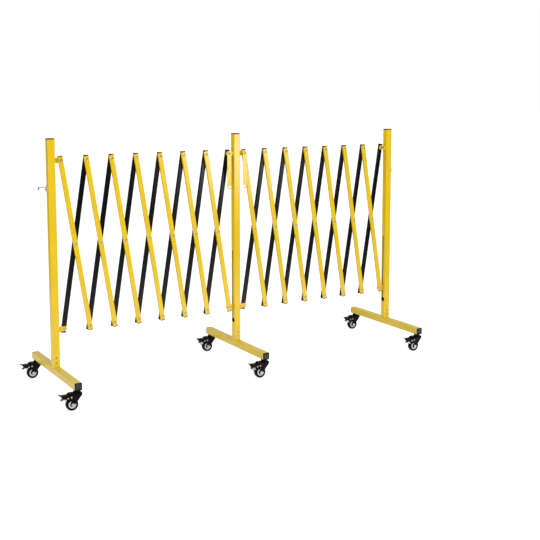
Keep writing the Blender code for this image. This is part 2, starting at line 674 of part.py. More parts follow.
def make_section(name, start, hinge_side, fence, paints):
    """One lattice from its left top pivot; hinge_side is where the middle post is."""
    half = PIVOT_LENGTH / 2
    middle = (TOP_PIVOT + LOW_PIVOT) / 2
    front_top = 0.0 if hinge_side < 0 else half
    rear_top = half if hinge_side < 0 else 0.0
    for number in range(SLATS_EACH_WAY):
        left = start + number * CELL_PITCH
        centre = (left + CELL_PITCH / 2, 0, middle)
        front_place = (left, 0, TOP_PIVOT) if hinge_side < 0 else centre
        rear_place = centre if hinge_side < 0 else (left + CELL_PITCH, 0, TOP_PIVOT)
        riveted = (number > 0, True, number < SLATS_EACH_WAY - 1)
        front = slat_mesh(front_top, riveted)
        rear = slat_mesh(rear_top, None)
        title = number + 1
        put(f"{name}_front_slat_{title}", front, paints["yellow"], fence, front_place, -SLAT_ANGLE)
        put(f"{name}_rear_slat_{title}", rear, paints["black"], fence, rear_place, SLAT_ANGLE)
    end = start + SLATS_EACH_WAY * CELL_PITCH
    for side, x, label in ((1, start, "left"), (-1, end, "right")):
        place = (x, 0, LOW_PIVOT)
        put(f"{name}_slider_{label}", slider_mesh(side), paints["yellow"], fence, place)


def main():
    """Build the whole fence at rest."""
    clear_scene()
    paints = {
        "yellow": paint("yellow_powder_coat", (0.80, 0.55, 0.05), 0.45),
        "black": paint("black_powder_coat", (0.015, 0.015, 0.015), 0.4),
        "tyre": paint("black_moulded_wheel", (0.02, 0.02, 0.02), 0.6),
        "zinc": paint("zinc_plated_steel", (0.62, 0.62, 0.60), 0.35, 1.0),
    }
    fence = pivot("fence", (CENTRING, 0, 0))
    left = make_stand("left", -POST_PITCH, (1,), -1, fence, paints)
    make_stand("middle", 0.0, (-1, 1), 0, fence, paints)
    right = make_stand("right", POST_PITCH, (-1,), 0, fence, paints)
    make_section("left", -POST_PITCH + PIVOT_OFFSET, 1, fence, paints)
    make_section("right", PIVOT_OFFSET, -1, fence, paints)
    for side, label in ((-1, "left"), (1, "right")):
        place = (side * PIVOT_OFFSET, 0, TOP_PIVOT)
        put(f"{label}_latch_bar", latch_mesh(side), paints["yellow"], fence, place)
    link_drop = LINK_HEIGHT - TOP_PIVOT
    put("link_hook", hook_mesh(), paints["zinc"], left, (-PIVOT_OFFSET, 0, link_drop))
    put("link_strap", strap_mesh(), paints["yellow"], right, (PIVOT_OFFSET, 0, link_drop))


main()
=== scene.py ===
"""Looks of the expanding barrier fence: rounded tubes, riveted slats, casters, latches and links.

Every length is in metres. The fence runs along X, its front faces -Y and +Z is up.
"""

import json
import logging
import math
from dataclasses import dataclass
from enum import Enum, IntEnum

import bpy
import numpy as np
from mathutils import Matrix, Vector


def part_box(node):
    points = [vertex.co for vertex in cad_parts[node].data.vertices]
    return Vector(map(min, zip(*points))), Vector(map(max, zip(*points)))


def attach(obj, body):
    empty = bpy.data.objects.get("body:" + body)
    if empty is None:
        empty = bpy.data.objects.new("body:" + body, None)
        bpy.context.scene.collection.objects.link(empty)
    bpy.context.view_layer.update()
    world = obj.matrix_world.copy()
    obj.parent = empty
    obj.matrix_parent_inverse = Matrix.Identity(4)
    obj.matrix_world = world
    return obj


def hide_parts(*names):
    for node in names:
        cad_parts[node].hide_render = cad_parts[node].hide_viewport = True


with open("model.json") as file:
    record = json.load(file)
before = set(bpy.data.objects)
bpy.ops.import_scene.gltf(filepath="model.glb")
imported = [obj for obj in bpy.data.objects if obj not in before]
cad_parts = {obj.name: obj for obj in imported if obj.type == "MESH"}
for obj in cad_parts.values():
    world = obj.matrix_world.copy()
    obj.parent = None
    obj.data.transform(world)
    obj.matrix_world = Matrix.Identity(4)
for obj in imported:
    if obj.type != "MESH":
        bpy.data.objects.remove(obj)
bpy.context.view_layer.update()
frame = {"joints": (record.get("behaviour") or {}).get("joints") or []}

LOG = logging.getLogger("fence")
MM = 0.001
ROUND_TURN = 2 * math.pi
QUARTER_TURN = math.pi / 2
# Lengths under this count as nothing.
TINY = 1e-7
# Edges flatter than this are shaded smooth.
SMOOTH_ANGLE = math.radians(35)
AXES: dict[str, np.ndarray] = {joint["name"]: np.array(joint["pos_m"]) for joint in frame["joints"]}

Point = tuple[float, float, float]
Rows = np.ndarray | list | tuple
Socket = bpy.types.NodeSocket
Tree = bpy.types.NodeTree


# Shader nodes.


def linear(hex_colour: str) -> tuple[float, float, float, float]:
    """Turn an sRGB hex colour to linear light.

    Args:
        hex_colour: six hex digits, such as "E8BD22".

    Returns:
        Red, green, blue and an alpha of one.
    """
    values = [int(hex_colour[k : k + 2], 16) / 255 for k in (0, 2, 4)]
    red, green, blue = (v / 12.92 if v <= 0.04045 else ((v + 0.055) / 1.055) ** 2.4 for v in values)
    return (red, green, blue, 1.0)


def feed(tree: Tree, node: bpy.types.Node, inputs: dict) -> None:
    """Set or link the inputs of a node.

    Args:
        tree: the node tree.
        node: one of its nodes.
        inputs: value or socket for each input, by its name or number.
    """
    for key, value in inputs.items():
        if isinstance(value, Socket):
            tree.links.new(value, node.inputs[key])
        else:
            node.inputs[key].default_value = value


def add_node(tree: Tree, kind: str, inputs: dict, output: str | int = 0, **settings: object) -> Socket | None:
    """Add one shader node, set it up and link what feeds it.

    Args:
        tree: the node tree that it goes into.
        kind: Blender's name of the node type, less its ShaderNode.
        inputs: value or socket for each input, by its name or number.
        output: name or number of the output that is wanted.
        settings: the node's own properties.

    Returns:
        That output, or None for a node that ends the tree.
    """
    made = tree.nodes.new("ShaderNode" + kind)
    for name, value in settings.items():
        setattr(made, name, value)
    feed(tree, made, inputs)
    return made.outputs[output] if made.outputs else None


def noise(tree: Tree, place: Socket, size_mm: float, detail: float, roughness: float = 0.5) -> Socket:
    """Noise whose features are that many millimetres across."""
    inputs = {"Vector": place, "Scale": 1 / (size_mm * MM), "Detail": detail, "Roughness": roughness}
    return add_node(tree, "TexNoise", inputs)


def remap(tree: Tree, value: Socket, low: float, high: float, to_low: float, to_high: float) -> Socket:
    """Value carried from one range to another, and held inside it."""
    inputs = {"Value": value, "From Min": low, "From Max": high, "To Min": to_low, "To Max": to_high}
    return add_node(tree, "MapRange", inputs)


def blend(tree: Tree, share: Socket, first: object, second: object) -> Socket:
    """Colour that goes from the first to the second as the share goes from 0 to 1."""
    return add_node(tree, "Mix", {"Factor": share, 6: first, 7: second}, 2, data_type="RGBA")


def bump(tree: Tree, height: Socket, strength: float, depth_mm: float) -> Socket:
    """Normal of a relief that is that deep."""
    return add_node(tree, "Bump", {"Height": height, "Strength": strength, "Distance": depth_mm * MM})


def by_ray(tree: Tree, plain: Socket, seen: Socket, mirrored: Socket) -> Socket:
    """Choose a shader by the ray that meets it.

    Args:
        tree: the node tree.
        plain: the shader that lights the fence.
        seen: the shader that the camera sees.
        mirrored: the shader that glossy surfaces mirror.

    Returns:
        The shader's output.
    """
    for ray, other in (("Is Camera Ray", seen), ("Is Glossy Ray", mirrored)):
        plain = add_node(tree, "MixShader", {0: add_node(tree, "LightPath", {}, ray), 1: plain, 2: other})
    return plain


# Finishes.


@dataclass(frozen=True)
class Recipe:
    """What every finish has: a name, two tones and a roughness.

    Args:
        title: the material's name.
        colour: sRGB hex colour of the clean surface.
        worn: sRGB hex colour where it is rubbed, dusty or tinted.
        roughness: shader roughness of the clean surface.
    """

    title: str
    colour: str
    worn: str
    roughness: float

    def sockets(self, tree: Tree, place: Socket) -> dict[str, Socket | float]:
        """What feeds the shader, by the name of its input."""
        raise NotImplementedError

    def material(self) -> bpy.types.Material:
        """Build the material on the piece's own coordinates.

        Returns:
            The material, with its nodes.
        """
        made = bpy.data.materials.new(self.title)
        made.use_nodes = True
        made.diffuse_color = linear(self.colour)
        tree = made.node_tree
        place = add_node(tree, "TexCoord", {}, "Object")
        feed(tree, tree.nodes["Principled BSDF"], self.sockets(tree, place))
        return made


@dataclass(frozen=True)
class PowderCoat(Recipe):
    """Baked powder coat on steel: even colour, soft gloss and a fine orange peel.

    Args:
        gloss: strength of the reflection, where 0.5 is the usual one of a coat.
        peel_mm: width of one bump of the orange peel. The real ones are 1 to 2 mm, too fine to show.
        peel_depth_mm: height of those bumps.
        scuff_edge: noise level that a scuff starts at, higher for fewer scuffs.
    """

    gloss: float = 0.5
    peel_mm: float = 2.2
    peel_depth_mm: float = 0.05
    scuff_edge: float = 0.765

    def sockets(self, tree: Tree, place: Socket) -> dict[str, Socket | float]:
        """Cloudy tone, sparse scuffs and an orange-peel bump.

        Args:
            tree: the material's node tree.
            place: the piece's own coordinates.

        Returns:
            Value or socket for each of the shader's inputs.
        """
        # The coat's thickness drifts over 80 mm or so, which shows as a faint cloudiness.
        tone = remap(tree, noise(tree, place, 80, 3.0), 0.3, 0.7, 0.955, 1.03)
        toned = add_node(tree, "HueSaturation", {"Value": tone, "Color": linear(self.colour)})
        # Scuffs and dust are patches of 14 mm, broken up by their finer octaves.
        patches = noise(tree, place, 14, 6.0, 0.7)
        scuff = remap(tree, patches, self.scuff_edge - 0.10, self.scuff_edge + 0.06, 0.0, 0.55)
        return {
            "Base Color": blend(tree, scuff, toned, linear(self.worn)),
            "Roughness": remap(tree, scuff, 0.0, 1.0, self.roughness, self.roughness + 0.25),
            "Specular IOR Level": self.gloss,
            "Normal": bump(tree, noise(tree, place, self.peel_mm, 1.0), 0.6, self.peel_depth_mm),
        }


@dataclass(frozen=True)
class MouldedPlastic(Recipe):
    """Moulded plastic with a fine spark-eroded texture, a little paler where it is handled.

    Args:
        gloss: strength of the reflection, where 0.5 is that of a polished moulding.
        grain_mm: width of one grain of the texture. The real grain is 0.3 mm, which is too fine to show.
        grain_depth_mm: height of the grain.
    """

    gloss: float = 0.3
    grain_mm: float = 1.0
    grain_depth_mm: float = 0.04

    def sockets(self, tree: Tree, place: Socket) -> dict[str, Socket | float]:
        """Tone mottled in patches of 9 mm, and a grain bump.

        Args:
            tree: the material's node tree.
            place: the piece's own coordinates.

        Returns:
            Value or socket for each of the shader's inputs.
        """
        share = remap(tree, noise(tree, place, 9, 5.0, 0.65), 0.45, 0.75, 0.0, 0.6)
        return {
            "Base Color": blend(tree, share, linear(self.colour), linear(self.worn)),
            "Roughness": self.roughness,
            "Specular IOR Level": self.gloss,
            "Normal": bump(tree, noise(tree, place, self.grain_mm, 2.0), 0.5, self.grain_depth_mm),
        }


@dataclass(frozen=True)
class PlatedSteel(Recipe):
    """Bright plated steel: metallic, with drawing lines and a slightly uneven passivated tone.

    Args:
        line_mm: spacing of the drawing lines.
    """

    line_mm: float = 0.8

    def sockets(self, tree: Tree, place: Socket) -> dict[str, Socket | float]:
        """Tint in patches of 6 mm, and lines that change the roughness.

        Args:
            tree: the material's node tree.
            place: the piece's own coordinates.

        Returns:
            Value or socket for each of the shader's inputs.
        """
        drawn = add_node(tree, "Mapping", {"Vector": place, "Scale": (1.0, 0.12, 1.0)})
        lines = noise(tree, drawn, self.line_mm, 2.0)
        return {
            "Base Color": blend(tree, noise(tree, place, 6, 3.0), linear(self.colour), linear(self.worn)),
            "Roughness": remap(tree, lines, 0.0, 1.0, self.roughness - 0.08, self.roughness + 0.12),
            "Metallic": 1.0,
        }


class Slot(Enum):
    """Material slots of the record."""

    YELLOW = "yellow_powder_coat"
    BLACK = "black_powder_coat"
    MOULDED = "black_moulded_wheel"
    ZINC = "zinc_plated_steel"


class Finish(Enum):
    """Each finish on the fence, with the record's slot that it belongs to."""

    # A saturated lemon yellow with a soft gloss that pales towards the lamps.
    YELLOW_COAT = (PowderCoat("powder_coated_steel_yellow", "EEC70C", "D8B838", 0.19), Slot.YELLOW)
    # The same coat, painted paler and less saturated as a painted highlight for the light that falls on the
    # beams from above and off the floor; its scuffs are dustier.
    BEAM_COAT = (PowderCoat("powder_coated_steel_foot_beam", "E8C828", "D2B650", 0.30), Slot.YELLOW)
    # Deep black with a grey sheen where a slat mirrors a lamp.
    BLACK_COAT = (PowderCoat("powder_coated_steel_black", "070708", "161618", 0.22, 0.22), Slot.BLACK)
    # Black pressed steel, a shade rougher.
    FORK_COAT = (PowderCoat("powder_coated_steel_caster", "060607", "161618", 0.28, 0.10), Slot.BLACK)
    # Dark brown inside the posts, painted shade for the dark inside the tube, which makes the guide slots
    # read as dark lines.
    BORE_COAT = (PowderCoat("primed_steel_bore", "1C130D", "2A2018", 0.55, 0.2), Slot.BLACK)
    # Dense black tyre with hardly any shine.
    WHEEL_PLASTIC = (MouldedPlastic("moulded_pu_wheel", "050506", "0E0E0F", 0.40, 0.08), Slot.MOULDED)
    # Black end caps, which read as a thin dark line on each tube.
    CAP_PLASTIC = (MouldedPlastic("moulded_ldpe_cap", "060607", "0E0E0F", 0.40, 0.05), Slot.MOULDED)
    # Dusty grey-black panel of a beam's plug.
    PANEL_PLASTIC = (MouldedPlastic("moulded_ldpe_panel", "343436", "48484B", 0.55), Slot.MOULDED)
    # Bright white ring in the wheel.
    RING_PLASTIC = (MouldedPlastic("moulded_pp_ring", "E2E2E2", "C8C8C9", 0.38), Slot.MOULDED)
    # Dark spacer between two slats.
    WASHER_PLASTIC = (MouldedPlastic("moulded_nylon_washer", "181818", "262626", 0.45), Slot.MOULDED)
    # Light grey plating of the axle nuts, bolts, shoe and hook.
    ZINC = (PlatedSteel("zinc_plated_steel", "E2E3E2", "C8CACB", 0.45), Slot.ZINC)
    # Warmer, smoother plating of the domed rivets.
    RIVET = (PlatedSteel("nickel_plated_steel_rivet", "CDC8BE", "A8A49C", 0.36), Slot.ZINC)

    def paint(self) -> bpy.types.Material:
        """Material of this finish, made once and then shared."""
        recipe = self.value[0]
        return bpy.data.materials.get(recipe.title) or recipe.material()


# Surfaces.


@dataclass
class Surface:
    """Points and faces of one shape, before they become a mesh.

    Args:
        points: array of (x, y, z) rows.
        faces: one list of point numbers for each face.
    """

    points: np.ndarray
    faces: list[list[int]]

    def moved(self, offset: Point | np.ndarray) -> "Surface":
        """Copy of this surface, shifted by an offset."""
        return Surface(self.points + np.asarray(offset, float), self.faces)

    def turned(self, matrix: np.ndarray) -> "Surface":
        """Copy of this surface, with each point multiplied by a 3 by 3 matrix."""
        return Surface(self.points @ matrix.T, self.faces)

    def outward(self) -> "Surface":
        """Turn the faces of this closed surface outwards.

        The volume is the sum of a . (b x c) / 6 over fans of triangles, and it comes out
        negative where the faces look in.

        Returns:
            The surface, its faces turned over if they looked in.
        """
        fans = np.array([(f[0], f[k], f[k + 1]) for f in self.faces for k in range(1, len(f) - 1)])
        a, b, c = (self.points[fans[:, k]] for k in range(3))
        if (a * np.cross(b, c)).sum() >= 0:
            return self
        return Surface(self.points, [face[::-1] for face in self.faces])


def mm(*rows: tuple) -> np.ndarray:
    """Rows of numbers in millimetres, as an array in metres."""
    return np.array(rows, float) * MM


def joined(*surfaces: Surface) -> Surface:
    """One surface with all the points and faces of several closed ones.

    Args:
        surfaces: the surfaces, in any order.

    Returns:
        The surface that holds them all.
    """
    surfaces = tuple(s.outward() for s in surfaces)
    starts = np.cumsum([0] + [len(s.points) for s in surfaces]).tolist()
    faces = [[k + start for k in face] for s, start in zip(surfaces, starts) for face in s.faces]
    return Surface(np.concatenate([s.points for s in surfaces]), faces)


def lofted(rings: np.ndarray, closed: bool = False) -> Surface:
    """Skin a stack of closed rings.

    Point (i, j) is point j of ring i. Each quad joins two neighbours of one ring to the
    same two of the next. An open stack gets one flat face at each end.

    Args:
        rings: array of (rings, points, 3).
        closed: join the last ring to the first, as on a washer or tyre.

    Returns:
        The skin, facing out where rings run counter-clockwise seen from the last one.
    """
    stack, around = rings.shape[:2]
    number = np.arange(stack * around).reshape(stack, around)
    low = number if closed else number[:-1]
    high = np.roll(number, -1, axis=0) if closed else number[1:]
    quads = np.stack([low, np.roll(low, -1, axis=1), np.roll(high, -1, axis=1), high], axis=-1)
    faces = quads.reshape(-1, 4).tolist()
    if not closed:
        faces += [number[0, ::-1].tolist(), number[-1].tolist()]
    return Surface(rings.reshape(-1, 3), faces)


def round_outline(width: float, depth: float, radius: float, steps: int = 4) -> np.ndarray:
    """Rectangle with round corners, counter-clockwise from its right side.

    Each corner is its centre plus radius times (cosine, sine) over a quarter turn. A lead
    point on each side of it keeps the shading of the flat faces flat.

    Args:
        width: full size along the first axis.
        depth: full size along the second axis.
        radius: corner radius.
        steps: segments in each corner.

    Returns:
        Array of (points, 2).
    """
    lead = min(0.8 * MM, 0.4 * (min(width, depth) / 2 - radius))
    angle = np.linspace(0, QUARTER_TURN, steps + 1)
    arc_part = radius * np.stack([np.cos(angle), np.sin(angle)], axis=1)
    one = np.concatenate([[(radius, -lead)], arc_part, [(-lead, radius)]])
    corner = np.array([[1, 1], [-1, 1], [-1, -1], [1, -1]], float) * (width / 2 - radius, depth / 2 - radius)
    quarters = [one, one[:, ::-1] * (-1, 1), -one, one[:, ::-1] * (1, -1)]
    return (corner[:, None, :] + np.array(quarters)).reshape(-1, 2)


def level_rings(outlines: list[np.ndarray], heights: Rows) -> np.ndarray:
    """Stack of outlines, each laid flat at its own height."""
    return np.array([np.column_stack([ring, np.full(len(ring), z)]) for ring, z in zip(outlines, heights)])


def bar(
    width: float, depth: float, radius: float, low: float, high: float, ease: float, steps: int = 4
) -> Surface:
    """Upright rounded bar: one rounded rectangle drawn from low to high, its ends eased.

    The end rings shrink by ease over a quarter circle of that radius. A lead ring inside
    each end keeps the shading of the sides flat.

    Args:
        width: size along X.
        depth: size along Y.
        radius: corner radius seen from above.
        low: height of the lower end.
        high: height of the upper end.
        ease: radius of the end edges.
        steps: segments in each corner.

    Returns:
        The closed bar.
    """
    turn = np.linspace(0, QUARTER_TURN, 4)
    lead = min(1.5 * MM, 0.25 * (high - low - 2 * ease))
    inset = np.append(ease * (1 - np.sin(turn)), 0.0)
    rise = np.append(ease * (1 - np.cos(turn)), ease + lead)
    insets = np.concatenate([inset, inset[::-1]])
    heights = np.concatenate([low + rise, (high - rise)[::-1]])
    least = 0.1 * MM
    outlines = [round_outline(width - 2 * d, depth - 2 * d, max(radius - d, least), steps) for d in insets]
    return lofted(level_rings(outlines, heights))


def walled(outer: np.ndarray, inner: np.ndarray, quads: np.ndarray) -> Surface:
    """Closed wall between an outer and an inner sheet that share one set of quads.

    An edge that only one quad has is open, and one more quad joins it to the inner sheet.

    Args:
        outer: points of the outer sheet.
        inner: the same points, less the wall.
        quads: rows of four point numbers, facing out on the outer sheet.

    Returns:
        The closed wall.
    """
    count = len(outer)
    start, end = quads.reshape(-1), np.roll(quads, -1, axis=1).reshape(-1)
    is_open = ~np.isin(start * count + end, end * count + start)
    a, b = start[is_open], end[is_open]
    rim = np.stack([b, a, a + count, b + count], axis=1)
    faces = np.concatenate([quads, quads[:, ::-1] + count, rim])
    return Surface(np.concatenate([outer, inner]), faces.tolist())


def spun(profile: Rows, sides: int = 24, closed: bool = False) -> Surface:
    """Shape turned about Z: a profile of (radius, height) rows carried round a full turn.

    A point is (radius times cosine, radius times sine, height) of the turning angle.

    Args:
        profile: rows of (radius, height), from the lowest or innermost to the last.
        sides: facets round the axis.
        closed: the profile is a loop, as on a washer.

    Returns:
        The turned surface.
    """
    radius, height = np.asarray(profile, float).T[:, :, None]
    angle = np.linspace(0, ROUND_TURN, sides, endpoint=False)
    rings = [radius * np.cos(angle), radius * np.sin(angle), np.repeat(height, sides, axis=1)]
    return lofted(np.stack(rings, axis=-1), closed)


def plate(outline: Rows, low: float, high: float, ease: float = 0.5 * MM) -> Surface:
    """Flat plate in the (x, z) plane between two depths, with eased edges.

    Four rings stand at the depths low, low + ease, high - ease and high. The outer two
    are drawn in: each point moves by ease along the sum of its two edges' inward normals,
    divided by one plus their dot product, which keeps both edges at that distance.

    Args:
        outline: rows of (x, z), either way round.
        low: depth of the face nearer the front, along Y.
        high: depth of the face further back.
        ease: edge easing.

    Returns:
        The closed plate.
    """
    full = np.asarray(outline, float)
    after = np.roll(full, -1, axis=0)
    if (full[:, 0] * after[:, 1] - after[:, 0] * full[:, 1]).sum() < 0:
        full = full[::-1]
    edge = np.roll(full, -1, axis=0) - full
    edge /= np.maximum(np.linalg.norm(edge, axis=1, keepdims=True), TINY)
    normal = np.stack([-edge[:, 1], edge[:, 0]], axis=1)
    before = np.roll(normal, 1, axis=0)
    # Below this spread a corner is so sharp that it would be drawn in too far.
    least = 0.35
    spread = np.maximum(1 + (normal * before).sum(axis=1, keepdims=True), least)
    small = full + ease * (normal + before) / spread
    depths = (low, low + ease, high - ease, high)
    rings = level_rings([small, full, full, small], depths)[:, :, [0, 2, 1]]
    return lofted(rings[::-1])


def arc(middle: Rows, radius: float, start: float, end: float, steps: int) -> np.ndarray:
    """Points of an arc round a middle, from one angle in degrees to another."""
    angle = np.radians(np.linspace(start, end, steps + 1))
    return np.asarray(middle) + radius * np.stack([np.cos(angle), np.sin(angle)], axis=1)


def rounded(corners: Rows, steps: int = 5) -> np.ndarray:
    """Round the corners of a closed outline, or of an open path whose ends have no radius.

    Between its two tangent points each corner is a quadratic curve, whose points are the
    weighted mean of the tangent points and the corner.

    Args:
        corners: rows of (x, z, distance from the corner to its tangent points).
        steps: segments in each corner.

    Returns:
        Array of (points, 2) without repeats.
    """
    rows = np.asarray(corners, float)
    point, radius = rows[:, :2], rows[:, 2:]
    ends = []
    for step in (1, -1):
        way = np.roll(point, step, axis=0) - point
        ends.append(point + radius * way / np.linalg.norm(way, axis=1, keepdims=True))
    share = np.linspace(0, 1, steps + 1)[None, :, None]
    start, end = (each[:, None] for each in ends)
    curve = (1 - share) ** 2 * start + 2 * share * (1 - share) * point[:, None] + share**2 * end
    flat = curve.reshape(-1, 2)
    return flat[np.linalg.norm(flat - np.roll(flat, 1, axis=0), axis=1) > TINY]


def sharp(points: np.ndarray) -> np.ndarray:
    """Rows of (x, z, 0) for points that an outline passes through."""
    return np.column_stack([points, np.zeros(len(points))])


def run_along(path: np.ndarray) -> np.ndarray:
    """Length along a path up to each of its points."""
    return np.append(0, np.cumsum(np.linalg.norm(np.diff(path, axis=0), axis=1)))


def points_at(path: np.ndarray, where: np.ndarray) -> np.ndarray:
    """Points of a path at given lengths along it, by linear interpolation."""
    return np.stack([np.interp(where, run_along(path), path[:, k]) for k in range(2)], axis=1)


def channel(rear: Rows, front: Rows, half: float, sheet: float, bend: float, rows: int) -> Surface:
    """Sheet bent across Y into an upside-down U, such as a fork or a pedal.

    Down each leg, row k runs from a point of the rear edge to one of the front edge. Over
    the bend a row turns with radius bend outside and bend less sheet inside, on to the
    mirrored leg. Each row is a ring of eight points, the sheet's section with eased corners.

    Args:
        rear: rear edge of a leg, (x, z) rows from the foot to the shoulder.
        front: front edge, the same way.
        half: half the outside width.
        sheet: sheet thickness.
        bend: outside bend radius.
        rows: rows down each leg.

    Returns:
        The closed channel, centred on Y.
    """
    ease = 0.5 * MM
    turn = np.linspace(0, QUARTER_TURN, 6)[1:]
    sides = []
    for edge in (rear, front):
        edge = points_at(edge, np.linspace(0, run_along(edge)[-1], rows))
        for inner in (0.0, sheet):
            leg = np.stack([edge[:, 0], np.full(rows, half - inner), edge[:, 1]], axis=1)
            y = half - bend + (bend - inner) * np.cos(turn)
            z = edge[-1, 1] + (bend - inner) * np.sin(turn)
            over = np.stack([np.full(len(turn), edge[-1, 0]), y, z], axis=1)
            sides.append(np.concatenate([leg, over]))
    rear_out, rear_in, front_out, front_in = sides
    across = ease / np.maximum(np.linalg.norm(front_out - rear_out, axis=1, keepdims=True), 4 * ease)
    loop = [(rear_out, across), (front_out, ease / sheet), (front_in, across), (rear_in, ease / sheet)]
    ring = []
    for (one, share), (after, _) in zip(loop, loop[1:] + loop[:1]):
        ring += [one + share * (after - one), after + share * (one - after)]
    side = np.stack(ring, axis=1)
    return lofted(np.concatenate([side, side[::-1] * (1, -1, 1)]))


def ribbon(corners: Rows, bend: float, half_width: float, sheet: float, end_round: float) -> Surface:
    """Bent strip of sheet: its eased section carried along a bent path in the (x, z) plane.

    A ring stands square to the path at each of its points. Over the last end_round of
    the length the half width falls along a quarter circle, which rounds both corners.

    Args:
        corners: (x, z) corners of the middle of the sheet.
        bend: distance from each inner corner to its tangent points.
        half_width: half its width, along Y.
        sheet: its thickness.
        end_round: radius of the corners at the path's last end.

    Returns:
        The closed strip.
    """
    path = rounded([(x, z, bend if 0 < k < len(corners) - 1 else 0.0) for k, (x, z) in enumerate(corners)])
    run = run_along(path)
    into = end_round * np.sin(np.linspace(0, QUARTER_TURN, 7))
    marks = np.unique(np.concatenate([run, run[-1] - end_round + into]))
    middle = points_at(path, marks)
    tangent = np.gradient(middle, axis=0)
    tangent /= np.linalg.norm(tangent, axis=1, keepdims=True)
    past = np.clip((marks - run[-1] + end_round) / end_round, 0, 1)
    half = half_width - end_round * (1 - np.sqrt(1 - past**2))
    h, e = sheet / 2, 0.4 * MM
    across = np.array([-1, 1, 1, 1, 1, -1, -1, -1])
    drawn_in = np.array([e, e, 0, 0, e, e, 0, 0])
    rise = np.array([-h, -h, e - h, h - e, h, h, h - e, e - h])
    y = across * (half[:, None] - drawn_in)
    rings = [middle[:, :1] - tangent[:, 1:] * rise, y, middle[:, 1:] + tangent[:, :1] * rise]
    return lofted(np.stack(rings, axis=-1))


# Turns a shape whose axis is Z so that its axis points to +Y (its +X stays).
TO_Y = np.array([[1, 0, 0], [0, 0, 1], [0, -1, 0]], float)
# The same, with the axis pointing to -Y.
TO_MINUS_Y = np.array([[1, 0, 0], [0, 0, -1], [0, 1, 0]], float)
# The same, with the axis pointing to -X.
TO_MINUS_X = np.array([[0, 0, -1], [0, 1, 0], [1, 0, 0]], float)


def put(name: str, data: bpy.types.ID, place: Rows = (0, 0, 0), turn: Rows = (0, 0, 0)) -> bpy.types.Object:
    """Add an object to the scene.

    Args:
        name: its name.
        data: its mesh, lamp or camera.
        place: where it stands.
        turn: its turns about X, Y and Z.

    Returns:
        The object.
    """
    made = bpy.data.objects.new(name, data)
    made.location, made.rotation_euler = place, turn
    bpy.context.scene.collection.objects.link(made)
    return made


def make_piece(name: str, surface: Surface, finish: Finish, body: str, *replaces: str) -> None:
    """Turn a surface into a finished object that rides on a body.

    Args:
        name: the piece's name.
        surface: its shape, in place.
        finish: what it is finished with.
        body: the body that it moves with.
        replaces: CAD nodes that it stands for.
    """
    mesh = bpy.data.meshes.new(name)
    shape = surface.outward()
    mesh.from_pydata(shape.points.tolist(), [], shape.faces)
    mesh.validate()
    mesh.materials.append(finish.paint())
    piece = put(name, mesh)
    mesh.shade_smooth()
    mesh.set_sharp_from_angle(angle=SMOOTH_ANGLE)
    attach(piece, body)
    if replaces:
        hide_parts(*replaces)
    LOG.info("%s: %d faces, %s, on %s", name, len(shape.faces), finish.name, body)


# Fasteners.


def dome(radius: float, height: float, base: float = 0.0, foot: float = 0.0) -> np.ndarray:
    """Profile of a button head standing up from base: a short skirt, then a quarter ellipse.

    Args:
        radius: head radius.
        height: height of the crown over its base.
        base: height that it stands on.
        foot: how far its skirt goes below base.

    Returns:
        Rows of (radius, height) from the rim to just off the axis.
    """
    # The last row stays off the axis, where its ring would shrink to a point.
    turn = np.linspace(0, 0.97 * QUARTER_TURN, 7)
    skirt = 0.25 * height
    curve = np.stack([radius * np.cos(turn), base + skirt + (height - skirt) * np.sin(turn)], axis=1)
    return np.concatenate([[[radius, base - foot]], curve])


def hexagon_nut(radius: float, low: float, high: float, bore: float) -> Surface:
    """Six-sided nut about Z with chamfered corners, and the bolt's end standing out of it.

    Args:
        radius: corner radius.
        low: height of its seat.
        high: height of its top.
        bore: radius of the bolt.

    Returns:
        The nut joined with the bolt's end.
    """
    height = high - low
    ease, end = 0.18 * height, high + 0.35 * height
    seat, crown = 0.93 * radius, 0.86 * radius
    nut = [(seat, low), (radius, low + ease), (radius, high - ease), (crown, high)]
    bolt = [(bore, low), (bore, end - 0.3 * MM), (bore - 0.4 * MM, end)]
    return joined(spun(nut, 6), spun(bolt, 16))


def washer(inner: float, outer: float, low: float, high: float) -> Surface:
    """Flat washer about Z between two heights.

    Args:
        inner: radius of the hole.
        outer: outer radius.
        low: height of its underside.
        high: height of its top.

    Returns:
        The closed washer.
    """
    ease = 0.2 * (high - low)
    rim = [(outer - ease, low), (outer, low + ease), (outer, high - ease), (outer - ease, high)]
    return spun([(inner, low), *rim, (inner, high)], closed=True)


def weld_beads(middles: list[Point], run: Point, radius: float) -> Surface:
    """Weld beads along parallel lines, rippled as they were laid.

    A ring's radius is the bead's, times one plus the ripple's depth times the sine of its
    phase, times the square root of its share of the taper near an end.

    Args:
        middles: the middle of each bead.
        run: the way from its middle to its end.
        radius: bead radius.

    Returns:
        The closed beads.
    """
    half = np.array(run)
    length = 2 * float(np.linalg.norm(half))
    axis = half / (length / 2)
    side = np.cross(axis, [0.0, 0.0, 1.0] if abs(axis[2]) < 0.9 else [0.0, 1.0, 0.0])
    side /= np.linalg.norm(side)
    ring_gap, ripple, depth, tapered = 0.9 * MM, 2.2 * MM, 0.13, 0.1
    share = np.linspace(0, 1, max(8, int(length / ring_gap)))
    taper = np.sqrt(np.clip(np.minimum(share, 1 - share) / tapered, 0.05, 1))
    size = radius * taper * (1 + depth * np.sin(share * length / ripple * ROUND_TURN))
    angle = np.linspace(0, ROUND_TURN, 10, endpoint=False)[None, :, None]
    round_part = np.cos(angle) * side + np.sin(angle) * np.cross(axis, side)
    bead = lofted(((2 * share[:, None] - 1) * half)[:, None, :] + size[:, None, None] * round_part)
    return joined(*(bead.moved(middle) for middle in middles))


# Shared choices and sizes.


class Side(IntEnum):
    """Which way something lies along X."""

    LEFT = -1
    RIGHT = 1


class Way(IntEnum):
    """Which way something lies along Y."""

    FRONT = -1
    REAR = 1


